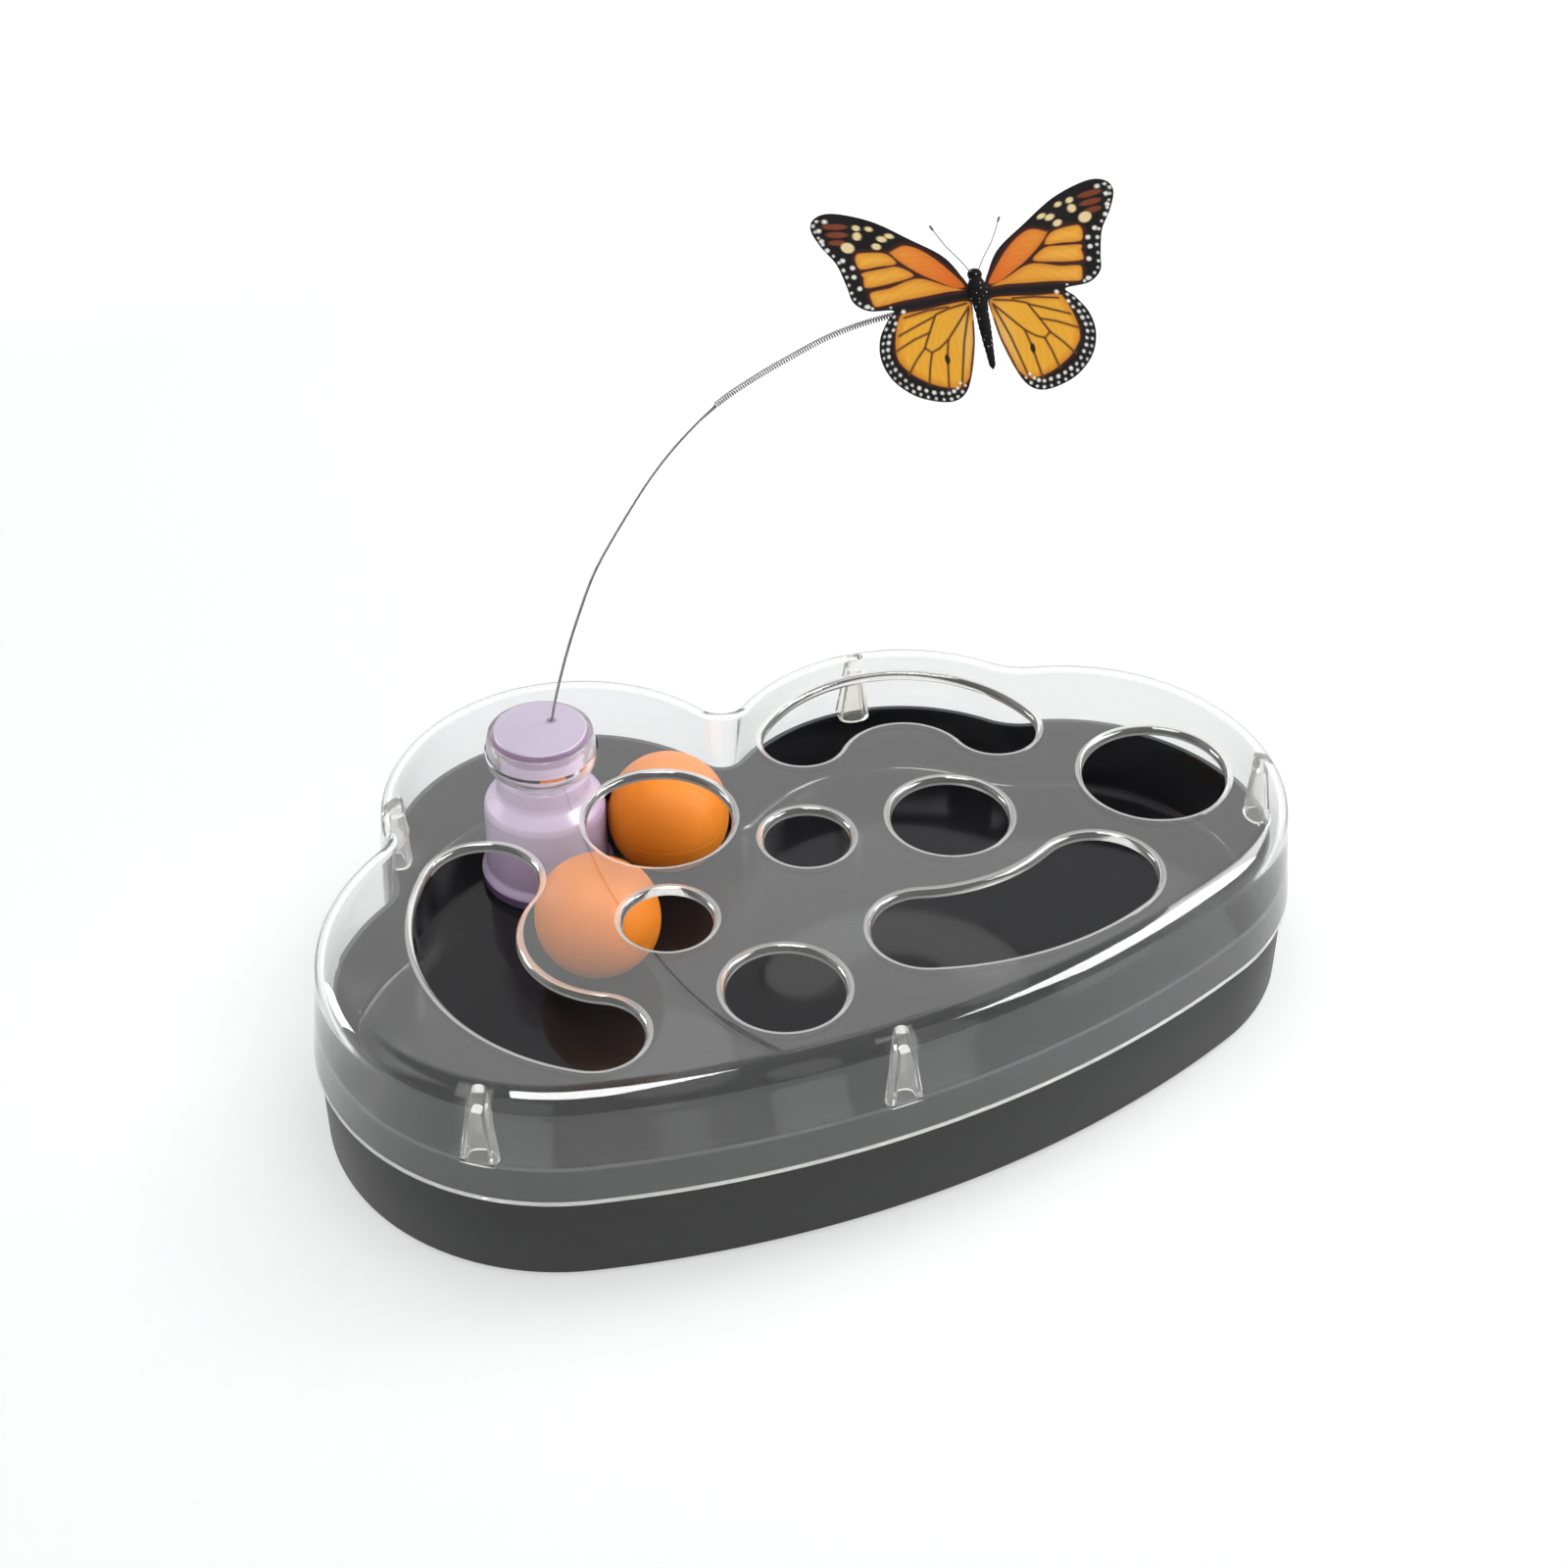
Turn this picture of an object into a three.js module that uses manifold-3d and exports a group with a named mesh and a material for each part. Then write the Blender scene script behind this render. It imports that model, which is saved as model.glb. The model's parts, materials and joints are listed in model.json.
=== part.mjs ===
// Battery toy for cats: a cloud-shaped tray with a clear lid, two balls inside and a butterfly that is
// carried round on a bent wire by a small geared motor unit.
// Millimetres. Z is up, X runs along the flat front side, Y points to the back, the ground is z = 0.
import * as THREE from 'three';
import { mergeVertices } from 'three/examples/jsm/utils/BufferGeometryUtils.js';
import Module from 'manifold-3d';

const wasm = await Module();
wasm.setup();

// Plan of the cloud: four lobes, three notches between them and one wide front arc.
const LOBES = [
  { x: -84.5, y: -18.6, r: 73.6 },
  { x: -53.1, y: 45.0, r: 61.1 },
  { x: 49.4, y: 11.0, r: 63.4 },
  { x: 90.7, y: -24.5, r: 67.3 },
];
const NOTCH_R = [10.7, 5.9, 21.2];
const FRONT_R = 351.5;
const LOBE_STEPS = 11;
const NOTCH_STEPS = 5;
const FRONT_STEPS = 8;

// Heights.
const FEET_H = 0.8;
const FLOOR_Z = 16;
const FLOOR_T = 2.2;
const STEP_Z = 30.2;
const SKIRT_Z = 30.5;
const RIM_Z = 41.5;
const LID_TOP = 68;
const LID_FILLET = 8;

// Sideways offsets from the plan line.
const SKIRT_OFF = 3.0;
const LID_WALL = 2.6;
const RIM_GAP = 0.5;
const RIM_WALL = 2.2;
const TRAY_WALL = 2.0;
const BASE_TOP_OFF = 1.7;
const BASE_FOOT_OFF = 1.2;
const FLOOR_OFF = -4.8;
const FLOOR_FILLET = 3;

// Openings in the lid. The radius is taken where the rounded edge meets the flat top.
const EDGE_R = 2.4;
const HOLE_STEPS = 22;
const BLOB_STEPS = [10, 8, 7, 8];
const ROUND_HOLES = [
  { x: 1.4, y: -11.4, r: 15.8 },
  { x: 46.1, y: -22.0, r: 20.8 },
  { x: 114.8, y: -32.0, r: 25.1 },
  { x: -53.5, y: -27.3, r: 16.0 },
  { x: -35.9, y: -70.6, r: 20.1 },
  { x: -35.7, y: 17.5, r: 25.1 },
];
const BLOB_HOLES = [
  { ax: -96.6, ay: 13.6, ar: 19.4, bx: -93.4, by: -63.2, br: 17.0, outer: 70.3, inner: 28.4, side: 1 },
  { ax: 13.6, ay: -65.9, ar: 18.9, bx: 73.1, by: -66.6, br: 20.6, outer: 101.7, inner: 54.6, side: 1 },
  { ax: 22.9, ay: 33.8, ar: 15.3, bx: 81.8, by: 11.5, br: 15.5, outer: 50.9, inner: 17, side: -1 },
];

// Hollow posts that carry the lid on the rim. The angle is seen from the arc each stands on.
const POST_W = 10.5;
const POST_D = 8;
const POST_WALL = 1.4;
const POSTS = [
  { arc: 'lobe', i: 0, deg: 226.9 },
  { arc: 'front', i: 0, deg: -92.6 },
  { arc: 'lobe', i: 2, deg: 79.5 },
  { arc: 'lobe', i: 3, deg: -13.7 },
  { arc: 'lobe', i: 1, deg: 160.4 },
];

const FEET = [[-120, -45], [-75, 75], [60, 50], [125, -50], [0, -75]];
const FOOT_R = 5;
const FOOT_T = 1.6;

const BALL_R = 20;
const BALL_WALL = 1.8;
const BALLS = { front: [-58.3, 16.6], back: [-16.4, 54.1] };

// Drive unit. Everything in it is placed from its own axis.
const UNIT = [-54.2, 68.0];
const BODY_R = 19.9;
const BODY_WALL = 1.8;
const INNER_R = BODY_R - BODY_WALL;
const FOOT_RING_R = BODY_R + 2;
const FOOT_RING_H = 4.2;
const NECK_R = 15;
const SHOULDER_Z = 41.6;
const UNIT_TOP = 57.7;
const PLATE_T = 2;
const SCREW_Y = INNER_R - 2.5;
const MOTOR_R = 7.6;
const MOTOR_X = MOTOR_R + 1.1 - INNER_R;
const CELL_R = 7;
const CELL_X = INNER_R - 1.9 - CELL_R;
const BOARD_Y = INNER_R - 8.2;
const SWITCH_FACE = INNER_R - 4.1;
const BUTTON_Z = 36;
const USB_Z = 29;
const COLLAR_TOP = 70.7;
const CAP_TOP = 75.2;
const SHAFT_R = 1.5;
const LID_AROUND_COLLAR = 18.2;

// Gears: tooth counts and pitch from one module.
const MODULE = 0.5;
const T_PINION = 8;
const T_IDLER_BIG = 20;
const T_IDLER_SMALL = 8;
const T_OUTPUT = 22;

// Bent wire in one upright plane: way out from the cap hole and height.
const PLANE = new THREE.Vector3(0.8934, -0.4493, 0);
const WIRE_IN = [4.8, 2.2];
const WIRE_R = 0.5;
const WIRE_POINTS = [
  [5.6, 99.3], [11.2, 118.1], [16.4, 132.8], [24.9, 149.8], [36.2, 169.4], [46.5, 183.2],
  [56.3, 193.6], [67.1, 201.9], [76.9, 208.4], [87.2, 214.7], [96.9, 219.1], [108.8, 223.0], [129.6, 228.66],
];
const SOCKET_BACK = 3;
const SPRING_LENGTH = 82;
const SPRING_R = 0.76;
const SPRING_WIRE_R = 0.24;
const SPRING_PITCH = 1.15;
const FERRULE_L = 5;

// Butterfly, seen from above with the head along +Y, before it is turned into place.
const TILT = 7.5;
const BODY_LIFT = 3.2;
const WING_T = 0.4;
const WING = [
  [2.9, 2.6], [7.5, 11.3], [17, 18.3], [26.8, 24.7], [36.5, 28.1], [42, 27.6], [44, 24.4], [42, 19],
  [38.6, 13.5], [36.9, 6.8], [35.9, 2.4], [32.6, -0.2], [27.2, -2.1], [28.6, -5.2], [30.9, -9.6], [31.5, -15.6],
  [29, -21.8], [24, -26.8], [18, -29.4], [12.5, -30], [8.6, -27.6], [5.8, -21.6], [4.0, -14], [3.1, -7],
  [2.9, -2.6],
];

const material = (color, roughness, metalness = 0, extra = {}) =>
  new THREE.MeshStandardMaterial({ color, roughness, metalness, ...extra });
const clear = material(0xdfe3e6, 0.06, 0, { transparent: true, opacity: 0.35 });
const darkShell = material(0x2b2b2c, 0.35);
const lilac = material(0xb79cc4, 0.4);
const lilacCap = material(0xd8cce0, 0.4);
const orange = material(0xe07b1e, 0.4);
const rubber = material(0x1c1c1c, 0.9);
const steel = material(0x8d8f92, 0.3, 1);
const white = material(0xe9e9e4, 0.5);
const brass = material(0xb48a3c, 0.35, 1);
const green = material(0x1f5a3a, 0.6);
const blue = material(0x2f62b5, 0.5);
const redLead = material(0xb3261e, 0.5);
const blackPlastic = material(0x17171a, 0.5);
const wingFilm = material(0xd9822b, 0.5);

const group = new THREE.Group();
group.name = 'electric_butterfly_cat_toy';

function weld(geometry) {
  const g = geometry.clone();
  g.deleteAttribute('normal');
  g.deleteAttribute('uv');
  return mergeVertices(g, 1e-4);
}

function solid(geometry) {
  const g = weld(geometry);
  return new wasm.Manifold(new wasm.Mesh({
    numProp: 3,
    vertProperties: new Float32Array(g.attributes.position.array),
    triVerts: new Uint32Array(g.index.array),
  }));
}

function fromSolid(body) {
  const m = body.getMesh();
  const g = new THREE.BufferGeometry();
  g.setAttribute('position', new THREE.BufferAttribute(new Float32Array(m.vertProperties), 3));
  g.setIndex(new THREE.BufferAttribute(new Uint32Array(m.triVerts), 1));
  return g;
}

function add(name, shape, look) {
  const g = shape.isBufferGeometry ? weld(shape) : fromSolid(shape);
  g.computeVertexNormals();
  const mesh = new THREE.Mesh(g, look);
  mesh.name = name;
  group.add(mesh);
  return mesh;
}

// Triangles are collected in a plain list and turned into a geometry at the end.
function skinGeometry(skin) {
  const g = new THREE.BufferGeometry();
  g.setAttribute('position', new THREE.Float32BufferAttribute(skin.flat(2), 3));
  return g;
}

// A band between two rings with the same number of points. Rings run anticlockwise seen from above.
function strip(skin, a, b) {
  for (let i = 0; i < a.length; i += 1) {
    const j = (i + 1) % a.length;
    skin.push([a[i], a[j], b[j]]);
    skin.push([a[i], b[j], b[i]]);
  }
}

function rings(skin, list) {
  for (let i = 1; i < list.length; i += 1) {
    strip(skin, list[i - 1], list[i]);
  }
}

// A flat face at one height, with holes, facing up or down.
function face(skin, contour, holes, up) {
  const flat = (ring) => ring.map((p) => new THREE.Vector2(p[0], p[1]));
  const all = [contour, ...holes].flat();
  for (const [a, b, c] of THREE.ShapeUtils.triangulateShape(flat(contour), holes.map(flat))) {
    const [p, q, r] = [all[a], all[b], all[c]];
    const turn = (q[0] - p[0]) * (r[1] - p[1]) - (q[1] - p[1]) * (r[0] - p[0]);
    skin.push((turn > 0) === up ? [p, q, r] : [p, r, q]);
  }
}

const sub = (a, b) => [a[0] - b[0], a[1] - b[1]];
const angle = (v) => Math.atan2(v[1], v[0]);
const at = (ring, z) => ring.map((p) => [p[0], p[1], z]);

// Where two circles cross, on the chosen side of the line between their centres.
function crossing(c1, r1, c2, r2, side) {
  const d = sub(c2, c1);
  const length = Math.hypot(d[0], d[1]);
  const along = (r1 * r1 - r2 * r2 + length * length) / (2 * length);
  const across = side * Math.sqrt(r1 * r1 - along * along);
  return [
    c1[0] + (along * d[0] - across * d[1]) / length,
    c1[1] + (along * d[1] + across * d[0]) / length,
  ];
}

function arc(centre, r, from, to, steps, clockwise) {
  let end = to;
  if (clockwise) {
    while (end > from) end -= 2 * Math.PI;
  } else {
    while (end < from) end += 2 * Math.PI;
  }
  const points = [];
  for (let i = 0; i < steps; i += 1) {
    const t = from + ((end - from) * i) / steps;
    points.push([centre[0] + r * Math.cos(t), centre[1] + r * Math.sin(t)]);
  }
  return points;
}

const lobeCentre = LOBES.map((l) => [l.x, l.y]);
const notchCentre = NOTCH_R.map((r, i) =>
  crossing(lobeCentre[i], LOBES[i].r + r, lobeCentre[i + 1], LOBES[i + 1].r + r, 1));
const frontCentre = crossing(lobeCentre[3], FRONT_R - LOBES[3].r, lobeCentre[0], FRONT_R - LOBES[0].r, -1);

// The plan line, moved outwards by off. Every offset has the same number of points.
function outline(off) {
  const points = [];
  for (let i = 0; i < 4; i += 1) {
    const c = lobeCentre[i];
    const from = i === 0 ? angle(sub(c, frontCentre)) : angle(sub(notchCentre[i - 1], c));
    const to = i === 3 ? angle(sub(c, frontCentre)) : angle(sub(notchCentre[i], c));
    points.push(...arc(c, LOBES[i].r + off, from, to, LOBE_STEPS, true));
    if (i < 3) {
      const n = notchCentre[i];
      const start = angle(sub(c, n));
      const end = angle(sub(lobeCentre[i + 1], n));
      points.push(...arc(n, NOTCH_R[i] - off, start, end, NOTCH_STEPS, false));
    }
  }
  const first = angle(sub(lobeCentre[3], frontCentre));
  const last = angle(sub(lobeCentre[0], frontCentre));
  points.push(...arc(frontCentre, FRONT_R + off, first, last, FRONT_STEPS, true));
  return points.reverse();
}

// A bean-shaped hole: two round ends, a hollow side and a full side.
function bean(h, off) {
  const a = [h.ax, h.ay];
  const b = [h.bx, h.by];
  const co = crossing(a, h.outer - h.ar, b, h.outer - h.br, h.side);
  const ci = crossing(a, h.inner + h.ar, b, h.inner + h.br, h.side);
  const cw = h.side < 0;
  const points = [
    ...arc(co, h.outer + off, angle(sub(a, co)), angle(sub(b, co)), BLOB_STEPS[0], cw),
    ...arc(b, h.br + off, angle(sub(b, co)), angle(sub(ci, b)), BLOB_STEPS[1], cw),
    ...arc(ci, h.inner - off, angle(sub(b, ci)), angle(sub(a, ci)), BLOB_STEPS[2], !cw),
    ...arc(a, h.ar + off, angle(sub(ci, a)), angle(sub(a, co)), BLOB_STEPS[3], cw),
  ];
  return cw ? points.reverse() : points;
}

const circle = (x, y, r, steps = HOLE_STEPS) => arc([x, y], r, 0, 2 * Math.PI, steps, false);

// A hole through a plate: a quarter-rounded upper edge and a straight wall.
function holeRings(shape, top, bottom) {
  const list = [];
  for (let i = 0; i <= 2; i += 1) {
    const t = (i * Math.PI) / 4;
    list.push(at(shape(-EDGE_R * Math.sin(t)), top - EDGE_R * (1 - Math.cos(t))));
  }
  list.push(at(shape(-EDGE_R), bottom));
  return list;
}

function turned(profile, x, y, steps = 32) {
  const g = new THREE.LatheGeometry(profile.map((p) => new THREE.Vector2(p[0], p[1])), steps);
  g.rotateX(Math.PI / 2);
  return g.translate(x, y, 0);
}

const rod = (x, y, r, z0, z1, steps = 20) => turned([[0, z0], [r, z0], [r, z1], [0, z1]], x, y, steps);

function box(x0, x1, y0, y1, z0, z1) {
  const g = new THREE.BoxGeometry(x1 - x0, y1 - y0, z1 - z0);
  return g.translate((x0 + x1) / 2, (y0 + y1) / 2, (z0 + z1) / 2);
}

// A round tube through a row of points. The first and last faces are square to the given directions.
function sweep(points, radius, sides, startDir, endDir) {
  const skin = [];
  const n = points.length;
  const tangent = (i) => {
    if (i === 0 && startDir) return startDir.clone();
    if (i === n - 1 && endDir) return endDir.clone();
    return points[Math.min(i + 1, n - 1)].clone().sub(points[Math.max(i - 1, 0)]).normalize();
  };
  let normal = new THREE.Vector3(0.31, 0.87, 0.38).cross(tangent(0)).normalize();
  const list = [];
  for (let i = 0; i < n; i += 1) {
    const t = tangent(i);
    normal = normal.clone().addScaledVector(t, -normal.dot(t)).normalize();
    const side = t.clone().cross(normal);
    const ring = [];
    const r = typeof radius === 'function' ? radius(i / (n - 1)) : radius;
    for (let k = 0; k < sides; k += 1) {
      const a = (2 * Math.PI * k) / sides;
      const p = points[i].clone().addScaledVector(normal, r * Math.cos(a)).addScaledVector(side, r * Math.sin(a));
      ring.push([p.x, p.y, p.z]);
    }
    list.push(ring);
  }
  rings(skin, list);
  for (let k = 1; k < sides - 1; k += 1) {
    skin.push([list[0][0], list[0][k + 1], list[0][k]]);
    skin.push([list[n - 1][0], list[n - 1][k], list[n - 1][k + 1]]);
  }
  return skinGeometry(skin);
}

// Lid: one thin clear shell with nine play holes, the hole round the collar and five hollow posts.
const innerTop = LID_TOP - LID_WALL;
const filletZ = LID_TOP - LID_FILLET;
const lidOuterOff = (z) => (SKIRT_OFF * (filletZ - z)) / (filletZ - SKIRT_Z);
const lid = [];
const outerRings = [at(outline(SKIRT_OFF), SKIRT_Z)];
for (let i = 0; i <= 4; i += 1) {
  const t = (i * Math.PI) / 8;
  const off = LID_FILLET * (Math.cos(t) - 1);
  outerRings.push(at(outline(off), filletZ + LID_FILLET * Math.sin(t)));
}
rings(lid, outerRings);
const innerRings = [];
for (let i = 2; i >= 0; i -= 1) {
  const t = (i * Math.PI) / 4;
  const r = LID_FILLET - LID_WALL;
  innerRings.push(at(outline(-LID_FILLET + r * Math.cos(t)), filletZ + r * Math.sin(t)));
}
innerRings.push(at(outline(SKIRT_OFF - LID_WALL), SKIRT_Z));
innerRings.push(outerRings[0]);
rings(lid, innerRings);
const holes = [
  ...ROUND_HOLES.map((h) => holeRings((off) => circle(h.x, h.y, h.r + off), LID_TOP, innerTop)),
  ...BLOB_HOLES.map((h) => holeRings((off) => bean(h, off), LID_TOP, innerTop)),
];
const collarRing = circle(UNIT[0], UNIT[1], LID_AROUND_COLLAR, 32);
holes.push([at(collarRing, LID_TOP), at(collarRing, innerTop)]);
for (const h of holes) {
  rings(lid, h);
}
face(lid, outerRings[outerRings.length - 1], holes.map((h) => h[0]), true);
face(lid, innerRings[0], holes.map((h) => h[h.length - 1]), false);

// One post as a stack of D-shaped rings that lean back with the wall.
function post(p, levels) {
  const a = (p.deg * Math.PI) / 180;
  let centre = frontCentre;
  let r = FRONT_R;
  if (p.arc === 'lobe') {
    centre = lobeCentre[p.i];
    r = LOBES[p.i].r;
  }
  const out = [Math.cos(a), Math.sin(a)];
  const wall = [centre[0] + r * out[0], centre[1] + r * out[1]];
  const skin = [];
  const list = levels.map(([z, back, nose, half]) => {
    const ring = [[back, -half]];
    for (let i = 0; i <= 6; i += 1) {
      const t = -Math.PI / 2 + (i * Math.PI) / 6;
      ring.push([nose + half * 0.6 * (1 - Math.cos(t)), half * Math.sin(t)]);
    }
    ring.push([back, half]);
    return ring.map(([o, s]) => [wall[0] + o * out[0] - s * out[1], wall[1] + o * out[1] + s * out[0], z]);
  });
  for (const ring of list) ring.reverse();
  rings(skin, list);
  face(skin, list[0], [], false);
  face(skin, list[list.length - 1], [], true);
  return skinGeometry(skin);
}

let lidBody = solid(skinGeometry(lid));
const wallIn = (z) => lidOuterOff(z) - LID_WALL;
for (const p of POSTS) {
  lidBody = lidBody.add(solid(post(p, [
    [RIM_Z, wallIn(RIM_Z) + 1.1, wallIn(RIM_Z) - POST_D, POST_W / 2],
    [filletZ, wallIn(filletZ) + 1.1, wallIn(filletZ) - 5.2, POST_W / 2 - 2.3],
    [innerTop + 0.6, -4.6, -7.6, POST_W / 2 - 3],
  ])));
  lidBody = lidBody.subtract(solid(post(p, [
    [RIM_Z - 1, wallIn(RIM_Z) - 0.5, wallIn(RIM_Z) - POST_D + POST_WALL, POST_W / 2 - POST_WALL],
    [filletZ, wallIn(filletZ) - 0.5, wallIn(filletZ) - 5.2 + POST_WALL, POST_W / 2 - 2.3 - POST_WALL],
  ])));
}
add('clear_lid', lidBody, clear);

// Tray: outer wall, rim that the lid slides over, raised floor and a deep groove open from below.
const rimOff = (z) => wallIn(z) - RIM_GAP;
const tray = [];
const trayTop = [
  at(outline(BASE_FOOT_OFF - 0.8), FEET_H),
  at(outline(BASE_FOOT_OFF), FEET_H + 1),
  at(outline(BASE_TOP_OFF), STEP_Z),
  at(outline(rimOff(STEP_Z)), STEP_Z),
  at(outline(rimOff(RIM_Z)), RIM_Z),
  at(outline(rimOff(RIM_Z) - RIM_WALL), RIM_Z),
  at(outline(FLOOR_OFF), FLOOR_Z + FLOOR_FILLET),
  at(outline(FLOOR_OFF - FLOOR_FILLET * 0.3), FLOOR_Z + FLOOR_FILLET * 0.3),
  at(outline(FLOOR_OFF - FLOOR_FILLET), FLOOR_Z),
];
rings(tray, trayTop);
const under = FLOOR_Z - FLOOR_T;
const trayUnder = [
  at(outline(FLOOR_OFF + TRAY_WALL + 0.2), under),
  at(outline(FLOOR_OFF + TRAY_WALL + 0.4), STEP_Z - TRAY_WALL),
  at(outline(BASE_TOP_OFF - TRAY_WALL), STEP_Z - TRAY_WALL),
  at(outline(BASE_FOOT_OFF - TRAY_WALL), FEET_H),
  trayTop[0],
];
rings(tray, trayUnder);
const screwHoles = [-SCREW_Y, SCREW_Y].map((y) => circle(UNIT[0], UNIT[1] + y, 1.6, 16));
for (const ring of screwHoles) {
  strip(tray, at(ring, FLOOR_Z), at(ring, under));
}
face(tray, trayTop[trayTop.length - 1], screwHoles.map((r) => at(r, FLOOR_Z)), true);
face(tray, trayUnder[0], screwHoles.map((r) => at(r, under)), false);
let trayBody = solid(skinGeometry(tray));
const RIB_T = 1.6;
const RIB_Z = 7;
const RIBS_X = [[-45, -135, 135], [10, -130, 128]];
const RIBS_Y = [[-90, -78, 55], [0, -92, 50], [75, -80, 50]];
for (const [y, x0, x1] of RIBS_X) {
  trayBody = trayBody.add(solid(box(x0, x1, y - RIB_T / 2, y + RIB_T / 2, RIB_Z, under + 1)));
}
for (const [x, y0, y1] of RIBS_Y) {
  trayBody = trayBody.add(solid(box(x - RIB_T / 2, x + RIB_T / 2, y0, y1, RIB_Z, under + 1)));
}
for (const [x, y] of FEET) {
  trayBody = trayBody.add(solid(rod(x, y, FOOT_R + 1.6, FEET_H, under + 1, 24)));
  trayBody = trayBody.subtract(solid(rod(x, y, FOOT_R + 0.25, FEET_H - 1, FOOT_T, 24)));
}
add('base_tray', trayBody, darkShell);
FEET.forEach(([x, y], i) => {
  add(`rubber_foot_${i + 1}`, rod(x, y, FOOT_R, 0, FOOT_T, 20), rubber);
});

// Balls: two open half shells each, with a stepped seam at mid height.
const BALL_Z = FLOOR_Z + BALL_R + 0.05;
function halfBall(x, y, up) {
  const profile = [];
  const quarter = (r, i, steps) => {
    const t = (i * Math.PI) / (2 * steps);
    profile.push([i === 0 ? 0 : r * Math.sin(t), up * r * Math.cos(t)]);
  };
  for (let i = 0; i <= 5; i += 1) quarter(BALL_R, i, 5);
  for (let i = 3; i >= 0; i -= 1) quarter(BALL_R - BALL_WALL, i, 3);
  if (up > 0) profile.reverse();
  return turned(profile.map(([r, z]) => [r, z + BALL_Z]), x, y, 20);
}
for (const [name, [x, y]] of Object.entries(BALLS)) {
  add(`ball_${name}_upper`, halfBall(x, y, 1), orange);
  add(`ball_${name}_lower`, halfBall(x, y, -1), orange);
}

// Drive unit shell. The wall follows the outside down to the screw bosses.
const [ux, uy] = UNIT;
const shell = [
  [INNER_R, FLOOR_Z], [FOOT_RING_R, FLOOR_Z], [FOOT_RING_R, FLOOR_Z + FOOT_RING_H],
  [BODY_R + 0.2, FLOOR_Z + FOOT_RING_H + 2.2], [BODY_R, 32], [BODY_R - 0.1, 39.5], [BODY_R - 0.7, 42.8],
  [BODY_R - 2.3, 46.3], [NECK_R + 0.9, 49],
  [NECK_R, 51.5], [NECK_R, UNIT_TOP], [SHAFT_R + 0.5, UNIT_TOP], [SHAFT_R + 0.5, UNIT_TOP - BODY_WALL],
  [NECK_R - BODY_WALL, UNIT_TOP - BODY_WALL], [NECK_R - BODY_WALL, 51.8], [NECK_R - 0.8, 49.6],
  [BODY_R - 4, 46.9], [BODY_R - 2.8, 43.8], [BODY_R - 2.7, SHOULDER_Z], [INNER_R, SHOULDER_Z],
  [INNER_R, FLOOR_Z],
];
let housing = solid(turned(shell, ux, uy, 30));
for (const y of [-SCREW_Y, SCREW_Y]) {
  const boss = solid(rod(ux, uy + y, 2.8, FLOOR_Z + PLATE_T, 26, 18));
  housing = housing.add(boss.subtract(solid(rod(ux, uy + y, 1.55, FLOOR_Z, 24.5, 16))));
}
const toBack = (g, z) => g.rotateX(-Math.PI / 2).translate(ux, uy, z);
housing = housing.subtract(solid(toBack(rod(0, 0, 2.7, SWITCH_FACE, BODY_R + 4, 24), BUTTON_Z)));
housing = housing.subtract(solid(box(
  ux - 4.9, ux + 4.9, uy + INNER_R - 3, uy + BODY_R + 4, USB_Z - 2, USB_Z + 2,
)));
for (const x of [-9, 9]) {
  housing = housing.subtract(solid(rod(ux + x, uy, 1.1, 54, 60, 14)));
}
add('drive_housing', housing, lilac);

let plate = solid(rod(ux, uy, INNER_R - 0.3, FLOOR_Z, FLOOR_Z + PLATE_T, 30));
for (const y of [-SCREW_Y, SCREW_Y]) {
  plate = plate.subtract(solid(rod(ux, uy + y, 1.6, FLOOR_Z - 1, FLOOR_Z + PLATE_T + 1, 16)));
}
add('housing_bottom', plate, lilac);

// Pan-head screw standing on the given height, the head below or above it.
function screw(x, y, face0, tip, shank, head) {
  const dir = Math.sign(face0 - tip);
  const h = face0 + dir * head * 0.7;
  const profile = [
    [0, tip], [shank, tip], [shank, face0], [head, face0], [head * 0.7, h], [0, h],
  ];
  if (dir < 0) profile.reverse();
  return turned(profile, x, y, 10);
}
add('tray_screw_front', screw(ux, uy - SCREW_Y, under, 24, 1.25, 2.6), steel);
add('tray_screw_back', screw(ux, uy + SCREW_Y, under, 24, 1.25, 2.6), steel);

const GEAR_PLATE_Z = SHOULDER_Z - 1.2;
const MOTOR_Z = 24;
const can = [
  [0, MOTOR_Z], [MOTOR_R, MOTOR_Z], [MOTOR_R, GEAR_PLATE_Z], [2.5, GEAR_PLATE_Z], [2.5, GEAR_PLATE_Z - 1],
  [0, GEAR_PLATE_Z - 1],
];
add('motor_can', turned(can, ux + MOTOR_X, uy, 24), steel);
add('motor_end_bell', rod(ux + MOTOR_X, uy, MOTOR_R - 0.5, MOTOR_Z - 2, MOTOR_Z, 20), white);
const CELL_TOP = 37;
add('battery_cell', turned([
  [0, FLOOR_Z + PLATE_T], [CELL_R - 0.4, FLOOR_Z + PLATE_T], [CELL_R, FLOOR_Z + PLATE_T + 0.5],
  [CELL_R, CELL_TOP - 0.5], [CELL_R - 0.4, CELL_TOP], [0, CELL_TOP],
], ux + CELL_X, uy, 22), blue);

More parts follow.
